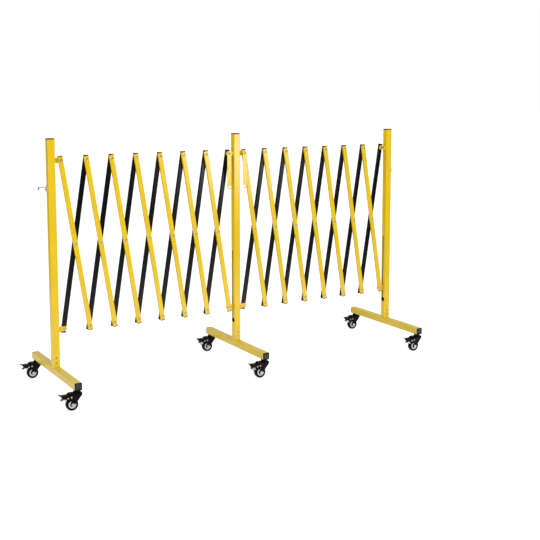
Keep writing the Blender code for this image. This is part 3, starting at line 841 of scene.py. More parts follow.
@dataclass(frozen=True)
class Tube:
    """Square tube of posts and foot beams."""

    side: float = 30 * MM
    wall: float = 1.5 * MM
    corner: float = 2.6 * MM
    half: float = side / 2


@dataclass(frozen=True)
class Planes:
    """Distances from the lattice's middle plane to its two slat planes and to what lies on them.

    Args:
        near: nearer face of a slat, and of the tab beside it.
        face: outer face of a slat.
        tab_far: outer face of a tab.
        head: height of a rivet's head.
        tail: underside of a tail head.
    """

    near: float = 1 * MM
    face: float = 11 * MM
    tab_far: float = 5 * MM
    head: float = 2.5 * MM
    tail: float = 11.3 * MM

    def tab_depths(self, way: Way) -> list[float]:
        """Depths of a tab on the front or rear plane, the lower first."""
        return sorted((way * self.near, way * self.tab_far))

    def seats(self, way: Way) -> tuple[float, float]:
        """Depths of the two heads of a pin whose tab is on the front or rear plane."""
        return (-self.tab_far, self.tail) if way is Way.FRONT else (-self.tail, self.tab_far)


TUBE = Tube()
PLANES = Planes()
HEAD_RADIUS = 5 * MM
SHANK_RADIUS = 2.8 * MM
LATCH_BACK = PLANES.face + PLANES.head + 0.4 * MM
LATCH_FRONT = LATCH_BACK + 3.6 * MM


def pin_through(x: float, z: float, front: float, back: float, waist: tuple[Point, ...] = ()) -> Surface:
    """Pin along Y through (x, z) with a domed head outside each of two depths.

    Args:
        x: place along X.
        z: height.
        front: depth of the seat of the front head.
        back: depth of the seat of the back head.
        waist: (radius, depth) rows of its shank between the heads, if it isn't plain.

    Returns:
        One closed turned surface.
    """
    head = dome(HEAD_RADIUS, PLANES.head)
    shank = [(SHANK_RADIUS, front), *waist, (SHANK_RADIUS, back)]
    profile = np.concatenate([head[::-1] * (1, -1) + (0, front), shank, head + (0, back)])
    return spun(profile).turned(TO_Y).moved((x, 0, z))


def tongue(x: float, z: float, reach: float, way: Way) -> Surface:
    """Tab with a round end about (x, z), reaching along X.

    Args:
        x: middle of its round end along X.
        z: middle of its round end in height.
        reach: how far it goes from there, negative to the left.
        way: the plane that it lies on.

    Returns:
        The closed tab.
    """
    start = 90 if reach > 0 else -90
    end = arc((x, z), 10.5 * MM, start, start + 180, 16)
    last = end[-1, 1]
    outline = np.concatenate([end, [(x + reach, last), (x + reach, 2 * z - last)]])
    return plate(outline, *PLANES.tab_depths(way))


# Stands.


@dataclass
class Stand:
    """Post, foot beam, bolts and brackets of one stand.

    Args:
        name: left, middle or right.
        sides: where its lattices lie.
        top: height of the upper pivots.
        low: height of the lower pivots.
    """

    name: str
    sides: tuple[Side, ...]
    top: float
    low: float
    pivot_offset: float = 40 * MM
    skin: float = 0.8 * MM
    cap: float = 4 * MM
    slot_below: float = 59 * MM
    slot_above: float = 257 * MM
    slot_half: float = 3 * MM
    slot_middle: float = 3 * MM
    window_half: float = 10.5 * MM
    window_below: float = 11.5 * MM
    window_above: float = 5.5 * MM
    plug: float = 3 * MM
    bolt_rises: tuple[float, float] = (18 * MM, 38 * MM)
    race_radius: float = 14 * MM

    def __post_init__(self) -> None:
        """Read where the stand's CAD nodes are."""
        self.body = f"{self.name}_stand"
        beam_low, beam_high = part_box(f"{self.name}_foot_beam")
        post_low, post_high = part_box(f"{self.name}_post")
        self.x = (beam_low.x + beam_high.x) / 2
        self.half_length = beam_high.y
        self.foot, self.height = post_low.z, post_high.z
        self.beam_top = self.foot - 2.3 * MM
        self.beam_base = self.beam_top - TUBE.side

    def add(self, label: str, surface: Surface, finish: Finish, *replaces: str) -> None:
        """Make a piece of the stand, whose places along X are from the post's middle."""
        make_piece(f"{self.name}_{label}", surface.moved((self.x, 0, 0)), finish, self.body, *replaces)

    def post_ring(self, inset: float) -> np.ndarray:
        """Rounded square of the post, with points at the openings' edges on its side faces.

        Args:
            inset: how far inside the tube's outer face it runs.

        Returns:
            Array of (points, 2).
        """
        side = TUBE.side - 2 * inset
        outline = round_outline(side, side, TUBE.corner - inset, 5)
        edges = [self.slot_middle - self.slot_half, self.slot_middle + self.slot_half, self.window_half]
        # Adding nothing turns -0.0 to 0.0, so that it counts once.
        marks = np.unique(np.outer((-1, 1), edges) + 0.0)
        columns = []
        for point, after in zip(outline, np.roll(outline, -1, axis=0)):
            columns.append(point)
            if abs(after[0] - point[0]) < TINY and abs(after[1] - point[1]) > TUBE.half:
                inner = marks if after[1] > point[1] else marks[::-1]
                columns.extend((point[0], mark) for mark in inner)
        return np.array(columns)

    def post_shell(self, outside: float, inside: float) -> Surface:
        """Layer of the tube wall, with the openings cut through its side faces.

        Column k of a sheet is a point of the rounded square and row j is a height. The
        cells of a guide slot are left out, and those of the window at its lower end,
        which lets the slider's plate in.

        Args:
            outside: depth of the layer's outer face in the wall.
            inside: depth of its inner face.

        Returns:
            The closed layer.
        """
        outer, inner = (self.post_ring(inset) for inset in (outside, inside))
        bottom = self.low - self.slot_below
        window = (bottom - self.window_below, bottom + self.window_above)
        heights = [self.foot, *window, self.low + self.slot_above, self.height - self.cap]
        sheets = [level_rings([ring] * 5, heights).reshape(-1, 3) for ring in (outer, inner)]
        number = np.arange(len(sheets[0])).reshape(5, -1)
        low, high = number[:-1], number[1:]
        quads = np.stack([low, np.roll(low, -1, 1), np.roll(high, -1, 1), high], axis=-1)
        middle = (outer + np.roll(outer, -1, axis=0)) / 2
        keep = np.ones(quads.shape[:2], bool)
        for side in self.sides:
            on_face = middle[:, 0] * side > TUBE.half - outside - TINY
            keep[1, on_face & (np.abs(middle[:, 1]) < self.window_half)] = False
            keep[2, on_face & (np.abs(middle[:, 1] + side * self.slot_middle) < self.slot_half)] = False
        return walled(*sheets, quads[keep])

    def make_post(self) -> None:
        """Post tube with its bore painted dark as shade, and its black cap."""
        self.add("post_tube", self.post_shell(0.0, self.skin), Finish.YELLOW_COAT, f"{self.name}_post")
        self.add("post_bore", self.post_shell(self.skin, TUBE.wall), Finish.BORE_COAT)
        cap = bar(TUBE.side, TUBE.side, TUBE.corner, self.height - self.cap, self.height, 1.2 * MM)
        self.add("post_cap", cap, Finish.CAP_PLASTIC)

    def make_bracket(self, side: Side) -> None:
        """Upper bracket with its weld beads, and its long pin with a collar behind the latch bar.

        Args:
            side: where the lattice lies.
        """
        # The tab takes the plane that its slat leaves free: in front on the left, behind on the right.
        label, way = f"{side.name.lower()}_bracket", Way(side.value)
        x, face = side * self.pivot_offset, side * TUBE.half
        self.add(label, tongue(x, self.top, face - x, way), Finish.YELLOW_COAT)
        middles = [(face, depth, self.top) for depth in PLANES.tab_depths(way)]
        beads = weld_beads(middles, (0.0, 0.0, 9.5 * MM), 1.3 * MM)
        self.add(f"{label}_welds", beads, Finish.YELLOW_COAT)
        collar, seat = PLANES.seats(way)
        chamfer = 0.4 * MM
        waist = (
            (SHANK_RADIUS, -LATCH_BACK),
            (HEAD_RADIUS - chamfer, -LATCH_BACK),
            (HEAD_RADIUS, chamfer - LATCH_BACK),
            (HEAD_RADIUS, collar),
            (SHANK_RADIUS, collar),
        )
        self.add(f"{label}_pin", pin_through(x, self.top, -LATCH_FRONT, seat, waist), Finish.RIVET)

    def make_foot(self) -> None:
        """Foot beam, its end plugs, the post's seat with its weld beads, and the bolts through the post."""
        half = self.half_length - self.plug
        centre = (0, 0, (self.beam_top + self.beam_base) / 2)
        tube = bar(TUBE.side, TUBE.side, TUBE.corner, -half, half, 0.3 * MM, 5).turned(TO_MINUS_Y)
        # The beam's coat is painted paler, a painted highlight for the light from above and off the floor.
        self.add("beam_tube", tube.moved(centre), Finish.BEAM_COAT, f"{self.name}_foot_beam")
        rim = mm((0.3, 0.0), (0.0, 0.3), (0.0, 2.2), (0.8, 3.0), (2.6, 3.0), (3.2, 2.2))
        panel = mm((3.4, 1.8), (3.4, 2.3), (3.9, 2.5))
        for end in Way:
            label = f"{end.name.lower()}_plug"
            self.add(f"{label}_rim", self.plug_part(end, rim), Finish.CAP_PLASTIC)
            self.add(f"{label}_panel", self.plug_part(end, panel), Finish.PANEL_PLASTIC)
        side = TUBE.side - 0.6 * MM
        seat = bar(side, side, TUBE.corner, self.beam_top - 0.3 * MM, self.foot + 0.2 * MM, 0.6 * MM)
        self.add("post_seat", seat, Finish.BEAM_COAT)
        middles = [(0, y, self.beam_top + 0.2 * MM) for y in (-TUBE.half, TUBE.half)]
        beads = weld_beads(middles, (TUBE.half - 2 * MM, 0.0, 0.0), 1.5 * MM)
        self.add("seat_welds", beads, Finish.BEAM_COAT)
        for number, rise in enumerate(self.bolt_rises, start=1):
            self.make_bolt(number, self.beam_top + rise)

    def plug_part(self, end: Way, rows: np.ndarray) -> Surface:
        """Rounded squares stacked into the rim or the panel of an end plug.

        Args:
            end: the end of the beam.
            rows: (inset, height over the tube's end) of each square.

        Returns:
            The closed part.
        """
        insets, heights = rows.T
        sides = TUBE.side - 2 * insets
        corners = np.maximum(TUBE.corner - insets, 0.4 * MM)
        outlines = [round_outline(side, side, corner, 5) for side, corner in zip(sides, corners)]
        centre = (0, end * (self.half_length - self.plug), (self.beam_top + self.beam_base) / 2)
        stack = lofted(level_rings(outlines, heights))
        return stack.turned(TO_Y if end is Way.REAR else TO_MINUS_Y).moved(centre)

    def make_bolt(self, number: int, height: float) -> None:
        """Button-head bolt in front, washer and nut behind.

        Args:
            number: its number from the foot up.
            height: its height from the floor.
        """
        button = spun(mm((3.4, 0.7), (3.6, 1.2), (3.0, 2.3), (1.8, 2.7), (1.6, 1.4)))
        head = joined(washer(2.0 * MM, 4.6 * MM, 0.0, 0.7 * MM), button)
        front = head.turned(TO_MINUS_Y).moved((0, -TUBE.half, height))
        self.add(f"foot_bolt_{number}", front, Finish.RIVET)
        nut = hexagon_nut(5 * MM, 0.8 * MM, 4.0 * MM, 2.6 * MM)
        tail = joined(washer(2.5 * MM, 6.2 * MM, 0.0, 0.8 * MM), nut)
        back = tail.turned(TO_Y).moved((0, TUBE.half, height))
        self.add(f"foot_nut_{number}", back, Finish.ZINC)

    def make_race(self, caster: "Caster") -> None:
        """Swivel race under one end of the beam, with its rolled groove and the kingpin.

        Args:
            caster: the caster that it carries.
        """
        # Rows of the cup are offsets from its radius, and from its foot, middle and top.
        bottom, top = caster.crown_top + 0.5 * MM, self.beam_base
        groove = ((0, -0.9), (-1.4, -0.3), (-1.4, 0.3), (0, 0.9))
        levels = np.repeat([bottom, (bottom + top) / 2, top], (2, 4, 2))
        cup = mm((-1.2, 0), (0, 0.8), *groove, (0, -0.4), (-0.3, 0.2))
        cup += np.column_stack([np.full(len(cup), self.race_radius), levels])
        pin = mm((6.6, -8.2), (8.0, -7.0), (8.0, -3.0), (4.0, -3.0), (4.0, 0.9)) + (0, caster.crown_top)
        make_piece(f"{caster.name}_race", spun(cup, 32).moved(caster.place), Finish.FORK_COAT, self.body)
        make_piece(f"{caster.name}_kingpin", spun(pin).moved(caster.place), Finish.ZINC, self.body)

    def build(self) -> None:
        """Make every piece of the stand."""
        self.make_post()
        for side in self.sides:
            self.make_bracket(side)
        self.make_foot()


# Casters.


@dataclass
class Caster:
    """One braked swivel caster: pressed fork, wheel, axle, rivets and brake pedal.

    Places are from the kingpin along X and Y and from the floor up, and the pedal's are
    from its own pivot. The kingpin, axle, pivot and outer sizes come from the frame.

    Args:
        name: stand and end, such as left_front.
    """

    name: str
    half_width: float = 15.0 * MM
    sheet: float = 2.2 * MM
    bend: float = 4.0 * MM
    crown_rear: float = 34.0 * MM
    boss: float = 8.0 * MM
    lobe: float = 6.0 * MM
    second_rivet: Point = (-27.0 * MM, 0.0, 55.5 * MM)
    tyre_half: float = 10.0 * MM
    pedal_half: float = 12.3 * MM
    pedal_sheet: float = 1.7 * MM
    pedal_front: float = 4.0 * MM
    pedal_back: float = 25.0 * MM
    lip_rise: float = 5.0 * MM
    shoe: float = 2.2 * MM

    def __post_init__(self) -> None:
        """Read the joints' places and the outer sizes."""
        self.place = AXES[f"{self.name}_swivel"] * (1, 1, 0)
        self.axle = AXES[f"{self.name}_wheel_spin"] - self.place
        self.pivot = AXES[f"{self.name}_brake"] - self.place
        self.tyre_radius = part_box(f"{self.name}_wheel")[1].z - self.axle[2]
        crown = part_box(f"{self.name}_fork")[1]
        self.crown_top = crown.z
        self.crown_front = crown.x - self.place[0]
        tip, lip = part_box(f"{self.name}_brake_pedal")
        self.lip_x = tip.x - self.place[0] - self.pivot[0]
        self.pedal_top = lip.z - self.pivot[2] - self.lip_rise - 2 * MM

    def make_fork(self) -> None:
        """Pressed fork: each leg widens from the axle up to the crown, with a lobe for the pedal's pin."""
        axle, pivot = self.axle[[0, 2]], self.pivot[[0, 2]]
        shoulder = self.crown_top - self.bend
        back = pivot[0] - self.lobe
        heel, toe = axle[0] - self.boss, axle[0] + self.boss
        rise = rounded(
            [
                (heel, axle[1] + 1 * MM, 0),
                (heel + 2 * MM, axle[1] + 16 * MM, 3 * MM),
                (back, pivot[1] - self.lobe - 1 * MM, 4 * MM),
                (back, pivot[1] + self.lobe, 4 * MM),
                (-self.crown_rear, shoulder, 0),
            ]
        )
        bow = (self.crown_front, shoulder - 6 * MM, 4 * MM)
        slope = rounded([(toe, axle[1] - 1 * MM, 0), bow, (self.crown_front, shoulder, 0)])
        rear = np.concatenate([arc(axle, self.boss, 268, 180, 8), rise])
        front = np.concatenate([arc(axle, self.boss, 272, 350, 8), slope])
        pressing = channel(rear, front, self.half_width, self.sheet, self.bend, 44)
        body = f"{self.name}_fork"
        make_piece(f"{self.name}_fork_pressing", pressing.moved(self.place), Finish.FORK_COAT, body, body)

    def tyre_profile(self) -> np.ndarray:
        """Loop round the tyre's section: a crowned tread, a dished face each side, the bore.

        The tread drops by 0.6 mm times the square of the share from its middle to a
        shoulder. The faces are rows of (radius, depth below the wheel's side) in mm.

        Returns:
            Rows of (radius, height).
        """
        across = np.linspace(-1, 1, 9)
        tread_half = self.tyre_half - 2.2 * MM
        tread = np.stack([self.tyre_radius - 0.6 * MM * across**2, tread_half * across], axis=1)
        shoulder = [(23.4, 0.5), (21.8, 0.0), (20.6, 0.2), (19.6, 1.6)]
        dish = [(18.4, 2.0), (9.4, 2.0), (8.8, 0.9), (8.2, 0.0), (4.1, 0.0)]
        upper = mm(*shoulder, *dish) * (1, -1) + (0, self.tyre_half)
        return np.concatenate([tread, upper, upper[::-1] * (1, -1)])

    def make_wheel(self) -> None:
        """Tyre with its tread, and the pale ring let into each face."""
        place = self.place + self.axle
        body = f"{self.name}_wheel"
        tyre = spun(self.tyre_profile(), 48, closed=True).turned(TO_Y).moved(place)
        make_piece(f"{self.name}_tyre", tyre, Finish.WHEEL_PLASTIC, body, body)
        inner = ((9.8, 0.0), (9.9, 0.9), (10.6, 1.4))
        outer = ((12.6, 1.7), (14.6, 1.4), (15.5, 0.8), (15.7, 0.0))
        ring = spun(mm(*inner, *outer) + (0, self.tyre_half - 2.1 * MM), 48, closed=True)
        rings = joined(ring.turned(TO_Y), ring.turned(TO_MINUS_Y))
        make_piece(f"{self.name}_wheel_rings", rings.moved(place), Finish.RING_PLASTIC, body)

    def pin_across(self, radius: float) -> Surface:
        """Plain pin along Y from one outer face of the fork to the other."""
        return spun([(radius, -self.half_width), (radius, self.half_width)], 16).turned(TO_Y)

    def make_fasteners(self) -> None:
        """Axle bolt with its washers and nuts, then the pedal's pin and the second rivet of each leg."""
        seat = self.half_width + 0.7 * MM
        flat = washer(3.0 * MM, 6.6 * MM, self.half_width, seat)
        nut = joined(flat, hexagon_nut(6.2 * MM, seat, seat + 2.7 * MM, 2.9 * MM))
        axle = joined(self.pin_across(3.3 * MM), nut.turned(TO_Y), nut.turned(TO_MINUS_Y))
        body = f"{self.name}_fork"
        make_piece(f"{self.name}_axle", axle.moved(self.place + self.axle), Finish.ZINC, body)
        head = spun(dome(3.5 * MM, 1.3 * MM, self.half_width, 0.3 * MM))
        parts = [self.pin_across(2.2 * MM).moved(self.pivot)]
        for place in (self.pivot, self.second_rivet):
            parts += [head.turned(turn).moved(place) for turn in (TO_Y, TO_MINUS_Y)]
        make_piece(f"{self.name}_fork_rivets", joined(*parts).moved(self.place), Finish.RIVET, body)

    def make_pedal(self) -> None:
        """Brake pedal: cheeks with the top bent across them, an upturned lip and the zinc shoe."""
        body = f"{self.name}_brake_pedal"
        place = self.place + self.pivot
        top, back, bend = self.pedal_top, self.pedal_back, 2.6 * MM
        heel = mm((-8, -5.4, 0), (-15, -4.0, 3))
        rear = rounded([*heel, (-back, 4.6 * MM, 2 * MM), (-back, top - bend, 0)])
        toe = [(self.pedal_front, -4 * MM, 2.5 * MM), (self.pedal_front, top - bend, 0)]
        front = rounded([*mm((-2, -4.4, 0)), *toe])
        cheeks = channel(rear, front, self.pedal_half, self.pedal_sheet, bend, 24)
        make_piece(f"{self.name}_pedal_cheeks", cheeks.moved(place), Finish.FORK_COAT, body, body)
        middle = top - self.pedal_sheet / 2
        tip = (self.lip_x + 0.8 * MM, middle + self.lip_rise)
        path = [(2 * MM - back, middle), (-back - 1 * MM, middle), tip]
        lip = ribbon(path, 3 * MM, self.pedal_half - 0.4 * MM, self.pedal_sheet, 5 * MM)
        make_piece(f"{self.name}_pedal_lip", lip.moved(place), Finish.FORK_COAT, body)
        path = mm((-5.3, -15.1), (-13.5, -3.1), (-26.0, -9.9))
        shoe = ribbon(path, 2.4 * MM, self.pedal_half - self.pedal_sheet - 0.4 * MM, self.shoe, 4 * MM)
        make_piece(f"{self.name}_pedal_shoe", shoe.moved(place), Finish.ZINC, body)

    def build(self) -> None:
        """Make every piece of the caster."""
        self.make_fork()
        self.make_wheel()
        self.make_fasteners()
        self.make_pedal()


# Lattice.


@dataclass
class Lattice:
    """One folding lattice: yellow slats in front of as many black ones.

    Args:
        name: left or right.
        start: place of its left upper pivot along X.
        end: place of its right upper pivot along X.
        top: height of the upper pivots.
        low: height of the lower pivots.
    """

    name: str
    start: float
    end: float
    top: float
    low: float
    cells: int = 7
    width: float = 20 * MM
    depth: float = 10 * MM
    corner: float = 2.0 * MM
    overhang: float = 18 * MM
    cap: float = 3.2 * MM
    slider_reach: float = 26.8 * MM

    def __post_init__(self) -> None:
        """Work out the cell's size from the pivots' places."""
        self.pitch = (self.end - self.start) / self.cells
        self.drop = self.top - self.low
        self.length = math.hypot(self.pitch, self.drop)

    def make_slat(self, way: Way, number: int) -> None:
        """One slat with a plastic cap in each end, leaning so that its foot is one pitch aside.

        Args:
            way: the plane that it lies on.
            number: its cell, from the left.
        """
        finish = Finish.YELLOW_COAT if way is Way.FRONT else Finish.BLACK_COAT
        body = f"{self.name}_{way.name.lower()}_slat_{number}"
        sine, cosine = -way * self.pitch / self.length, self.drop / self.length
        lean = np.array([[cosine, 0, -sine], [0, 1, 0], [sine, 0, cosine]])
        left = self.start + (number - 1) * self.pitch
        upper = (left if way is Way.FRONT else left + self.pitch, 0, self.top)
        middle = (0, way * (PLANES.near + PLANES.face) / 2, 0)
        high, low = self.overhang - self.cap, -self.length - self.overhang + self.cap
        steel = bar(self.width, self.depth, self.corner, low, high, 0.2 * MM).moved(middle)
        make_piece(f"{body}_tube", steel.turned(lean).moved(upper), finish, body, body)
        play, sunk = 0.5 * MM, 0.1 * MM
        size = (self.width - play, self.depth - play, self.corner - 0.2 * MM)
        ends = [bar(*size, end - sunk, end + self.cap, 0.7 * MM) for end in (high, low - self.cap)]
        caps = joined(*ends).moved(middle).turned(lean).moved(upper)
        make_piece(f"{body}_caps", caps, Finish.CAP_PLASTIC, body)

    def make_rivets(self, number: int) -> None:
        """Domed rivets of one front slat, and the washers that keep the slats apart.

        Args:
            number: its cell, from the left.
        """
        body = f"{self.name}_front_slat_{number}"
        left = self.start + (number - 1) * self.pitch
        places = [(left + self.pitch / 2, (self.top + self.low) / 2)]
        if number > 1:
            places.append((left, self.top))
        if number < self.cells:
            places.append((left + self.pitch, self.low))
        rivets = [pin_through(x, z, -PLANES.face, PLANES.tail) for x, z in places]
        make_piece(f"{body}_rivets", joined(*rivets), Finish.RIVET, body)
        thick = PLANES.near - 0.1 * MM
        flat = washer(SHANK_RADIUS, 6.5 * MM, -thick, thick).turned(TO_Y)
        washers = [flat.moved((x, 0, z)) for x, z in places]
        make_piece(f"{body}_washers", joined(*washers), Finish.WASHER_PLASTIC, body)

    def make_slider(self, side: Side) -> None:
        """Lower tab, its plate inside the post and the pin of the end slat.

        Args:
            side: the end of the lattice that it is at.
        """
        # Like a bracket, the tab takes the plane that its slat leaves free.
        x, way = self.start if side is Side.LEFT else self.end, Way(side.value)
        body = f"{self.name}_slider_{side.name.lower()}"
        tab = tongue(x, self.low, side * self.slider_reach, way)
        make_piece(f"{body}_tab", tab, Finish.YELLOW_COAT, body, body)
        thick, half = 3 * MM, 20 * MM
        inner = bar(thick, 20 * MM, 1.0 * MM, -half, half, 0.8 * MM)
        inner = inner.moved((x + side * (self.slider_reach + thick / 2), 0, self.low))
        make_piece(f"{body}_plate", inner, Finish.ZINC, body)
        make_piece(f"{body}_pin", pin_through(x, self.low, *PLANES.seats(way)), Finish.RIVET, body)

    def build(self) -> None:
        """Make every piece of the lattice."""
        for number in range(1, self.cells + 1):
            for way in Way:
                self.make_slat(way, number)
            self.make_rivets(number)
        for side in Side:
            self.make_slider(side)


# Latches and links.


@dataclass(frozen=True)
class Latch:
    """Flat bar that hangs from a pin of the middle post, notched near its foot.

    Args:
        side: the side of the post that its pin is on.
    """

    side: Side
    half: float = 10 * MM
    end_reach: float = 9.5 * MM
    tip_radius: float = 2 * MM
    notch: float = 4 * MM
    edge_radius: float = 0.8 * MM

    def build(self) -> None:
        """Make the bar: a round top, a foot round on its outer side, and a notch towards the post."""
        label = self.side.name.lower()
        node = f"{label}_latch_bar"
        pivot = AXES[f"{label}_latch"]
        low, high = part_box(node)
        foot = low.z - pivot[2]
        notch = foot + self.end_reach
        corners = [
            *sharp(arc((0, 0), self.half, 180, 0, 18)),
            (self.half, notch + self.notch, self.edge_radius),
            *sharp(arc((0, notch), self.notch, 90, 270, 14)),
            (self.half, notch - self.notch, self.edge_radius),
            (self.half, foot, self.tip_radius),
            (-self.half, foot, self.end_reach),
        ]
        outline = rounded(corners, 8) * (-self.side, 1)
        steel = plate(outline, low.y, high.y).moved((pivot[0], 0, pivot[2]))
        make_piece(f"{label}_latch_plate", steel, Finish.YELLOW_COAT, node, node)


@dataclass(frozen=True)
class Link:
    """Hook on the left post and strap on the right post, which join one fence to the next.

    Args:
        left: the left stand.
        right: the right stand.
        drop: how far both are below the posts' tops.
    """

    left: Stand
    right: Stand
    drop: float = 203 * MM

    def make_hook(self) -> None:
        """Pad, bent zinc hook and its two rivets on the left post."""
        stand = self.left
        height = stand.height - self.drop
        face = stand.x - TUBE.half
        pad = bar(4.2 * MM, 18 * MM, 1.2 * MM, -12 * MM, 12 * MM, 1.0 * MM)
        make_piece("link_pad", pad.moved((face - 1.9 * MM, 0, height)), Finish.YELLOW_COAT, stand.body)
        foot = face - 4.3 * MM
        sheet = 3 * MM
        root, crest, tip = foot - sheet / 2, 9 * MM - sheet / 2, foot - 34 * MM + sheet / 2
        path = [(root, -9 * MM), (root, crest), (tip, crest), (tip, -5 * MM)]
        hook = ribbon(path, 3 * MM, 6 * MM, sheet, 3 * MM).moved((0, 0, height))
        make_piece("link_hook_strip", hook, Finish.ZINC, stand.body, "link_hook")
        rivet = spun(dome(2.4 * MM, 1.3 * MM, 0.0, 0.3 * MM), 16).turned(TO_MINUS_X)
        rivets = [rivet.moved((foot - sheet, 0, height + rise)) for rise in (-5.5 * MM, 1.5 * MM)]
        make_piece("link_hook_rivets", joined(*rivets), Finish.RIVET, stand.body)

    def make_strap(self) -> None:
        """Bent yellow strap with its weld beads on the right post."""
        stand = self.right
        height = stand.height - self.drop
        base = stand.x + TUBE.half + 0.1 * MM
        sheet = 2 * MM
        root, crest = base + sheet / 2, base + 8.7 * MM - sheet / 2
        edge, outer = 13.9 * MM, 8.0 * MM
        path = [(root, -edge), (root, -outer), (crest, -outer), (crest, outer), (root, outer), (root, edge)]
        strap = ribbon(path, 1.8 * MM, 10 * MM, sheet, 0.5 * MM).turned(TO_Y).moved((0, 0, height))
        make_piece("link_strap_sheet", strap, Finish.YELLOW_COAT, stand.body, "link_strap")
        beads = weld_beads([(base, y, height) for y in (-edge, edge)], (0.0, 0.0, 8 * MM), 1.1 * MM)
        make_piece("link_strap_welds", beads, Finish.YELLOW_COAT, stand.body)


# Studio.


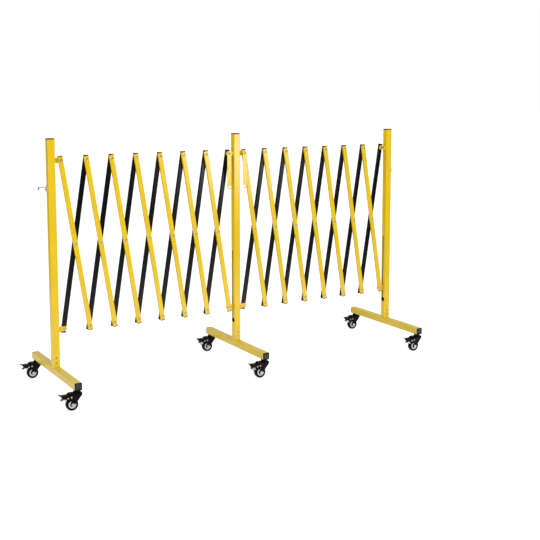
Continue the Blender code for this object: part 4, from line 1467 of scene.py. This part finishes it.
@dataclass(frozen=True)
class Studio:
    """Pale floor, white screen behind, soft lamps and the camera of the photograph.

    Args:
        eye: the camera's place.
        yaw: how far it looks to the right of +Y, in radians.
        pitch: how far it looks down, in radians.
        lens: focal length on a 36 mm wide frame.
        shift: vertical shift, as a share of the frame.
        floor_half: half the floor's width.
        level: brightness of the light that comes from all round.
        dusk: brightness of the dark side of the studio, as it is mirrored in a glossy coat.
    """

    eye: Point = (-2.09165, -3.83985, 1.25923)
    yaw: float = 0.5393
    pitch: float = 0.1157
    lens: float = 65.51
    shift: float = -0.1296
    floor_half: float = 30.0
    level: float = 0.62
    dusk: float = 0.12

    def make_camera(self) -> None:
        """Camera at the photograph's place, looking along its yaw and pitch."""
        data = bpy.data.cameras.new("camera")
        data.lens = self.lens
        data.sensor_width = 36
        data.shift_y = self.shift
        data.clip_end = 200
        bpy.context.scene.camera = put("camera", data, self.eye, (QUARTER_TURN - self.pitch, 0, -self.yaw))

    def make_sheet(self, name: str, corners: list[Point]) -> Tree:
        """Flat stage sheet with an empty material.

        Args:
            name: the sheet's name.
            corners: its four corners in turn.

        Returns:
            The node tree of its material.
        """
        mesh = bpy.data.meshes.new(name)
        mesh.from_pydata(corners, [], [(0, 1, 2, 3)])
        made = bpy.data.materials.new(name)
        made.use_nodes = True
        made.node_tree.nodes.clear()
        mesh.materials.append(made)
        put(name, mesh)
        return made.node_tree

    def make_floor(self) -> None:
        """Matt pale floor with a faint shadow, which goes to white for the camera.

        In a glossy coat it shows a painted glow, though it is no lamp: white near the fence, fading
        to the dark studio from 1.5 to 3.5 m away, with a painted glare standing in for the sheen
        lamp's within 1.1 m of a spot in front.
        """
        half = self.floor_half
        corners = [(-half, -half, 0.0), (half, -half, 0.0), (half, half, 0.0), (-half, half, 0.0)]
        tree = self.make_sheet("floor", corners)
        matte = add_node(tree, "BsdfDiffuse", {"Color": (0.80, 0.80, 0.80, 1.0)})
        glow = add_node(tree, "Emission", {"Strength": 0.60})
        lit = add_node(tree, "AddShader", {0: matte, 1: glow})
        place = add_node(tree, "TexCoord", {}, "Object")
        away = add_node(tree, "VectorMath", {0: place}, "Value", operation="LENGTH")
        # Painted reflection: glossy rays see the floor glow white near the fence and fade away from it, plus
        # a painted glare round a spot in front that stands in for the sheen lamp's.
        spot = (0.6, -1.1, 0.0)
        off_spot = add_node(tree, "VectorMath", {0: place, 1: spot}, "Value", operation="DISTANCE")
        fade = remap(tree, away, 1.5, 3.5, 1.0, self.dusk)
        glare = remap(tree, off_spot, 0.4, 1.1, 1.2, 0.0)
        mirrored = add_node(tree, "Emission", {"Strength": add_node(tree, "Math", {0: fade, 1: glare})})
        add_node(tree, "OutputMaterial", {"Surface": by_ray(tree, matte, lit, mirrored)})

    def make_screen(self) -> None:
        """White screen hung behind the fence, whose gloss pales the top faces."""
        left, right, away, low, high = -0.5, 9.0, 5.0, 1.3, 6.0
        corners = [(left, away, low), (right, away, low), (right, away, high), (left, away, high)]
        tree = self.make_sheet("screen", corners)
        add_node(tree, "OutputMaterial", {"Surface": add_node(tree, "Emission", {"Strength": 1.0})})

    def make_world(self) -> None:
        """White surround for the camera, a plain level of light, and a dark studio in reflections."""
        world = bpy.data.worlds.new("studio")
        bpy.context.scene.world = world
        world.use_nodes = True
        tree = world.node_tree
        tree.nodes.clear()
        white = (1.0, 1.0, 1.0, 1.0)
        kinds = ((self.level, (0.97, 0.98, 1.0, 1.0)), (1.0, white), (self.dusk, white))
        shaders = [add_node(tree, "Background", {"Strength": power, "Color": tint}) for power, tint in kinds]
        add_node(tree, "OutputWorld", {"Surface": by_ray(tree, *shaders)})

    def make_lamp(self, name: str, place: Point, size: tuple[float, float], power: float, aim: Point) -> None:
        """Oblong soft light.

        Args:
            name: the lamp's name.
            place: where it hangs.
            size: its width and its height.
            power: its power in watts.
            aim: the point that it faces.
        """
        data = bpy.data.lights.new(name, "AREA")
        data.shape = "RECTANGLE"
        data.size, data.size_y = size
        data.energy = power
        x, y, z = np.array(aim) - np.array(place)
        tilt, turn = math.atan2(z, math.hypot(x, y)), math.atan2(y, x)
        put(name, data, place, (QUARTER_TURN + tilt, 0, turn - QUARTER_TURN))

    def build(self) -> None:
        """Set up the camera, the floor, the screen, the surround and the lamps.

        The key lamp lights the fronts and left sides. The sheen lamp stands where the
        middle post mirrors it, which pales the upper part of that post and of its slats. The
        edge lamp stands low at the left and fills the left sides of posts and beams.
        """
        self.make_camera()
        self.make_floor()
        self.make_screen()
        self.make_world()
        self.make_lamp("key_lamp", (-0.9, -5.4, 3.2), (2.4, 2.4), 100.0, (0.2, 0.0, 0.5))
        self.make_lamp("sheen_lamp", (1.7, -3.1, 0.78), (0.8, 0.6), 12.0, (0.0, 0.0, 0.8))
        self.make_lamp("edge_lamp", (-4.6, -2.4, 0.55), (1.4, 1.1), 45.0, (0.0, 0.0, 0.6))
        bpy.context.scene.view_settings.view_transform = "Standard"


def main() -> None:
    """Build the fence's pieces in order."""
    logging.basicConfig(level=logging.INFO, format="%(name)s: %(message)s")
    Studio().build()
    top = AXES["left_lattice_open"][2]
    low = AXES["left_slider_left_upright"][2]
    sides = {"left": (Side.RIGHT,), "middle": tuple(Side), "right": (Side.LEFT,)}
    left, middle, right = stands = [Stand(name, facing, top, low) for name, facing in sides.items()]
    for stand in stands:
        stand.build()
        for end in Way:
            caster = Caster(f"{stand.name}_{end.name.lower()}")
            caster.build()
            stand.make_race(caster)
    for name, first, last in (("left", left, middle), ("right", middle, right)):
        Lattice(name, first.x + first.pivot_offset, last.x - last.pivot_offset, top, low).build()
    for side in Side:
        Latch(side).build()
    link = Link(left, right)
    link.make_hook()
    link.make_strap()


if __name__ == "__main__":
    main()
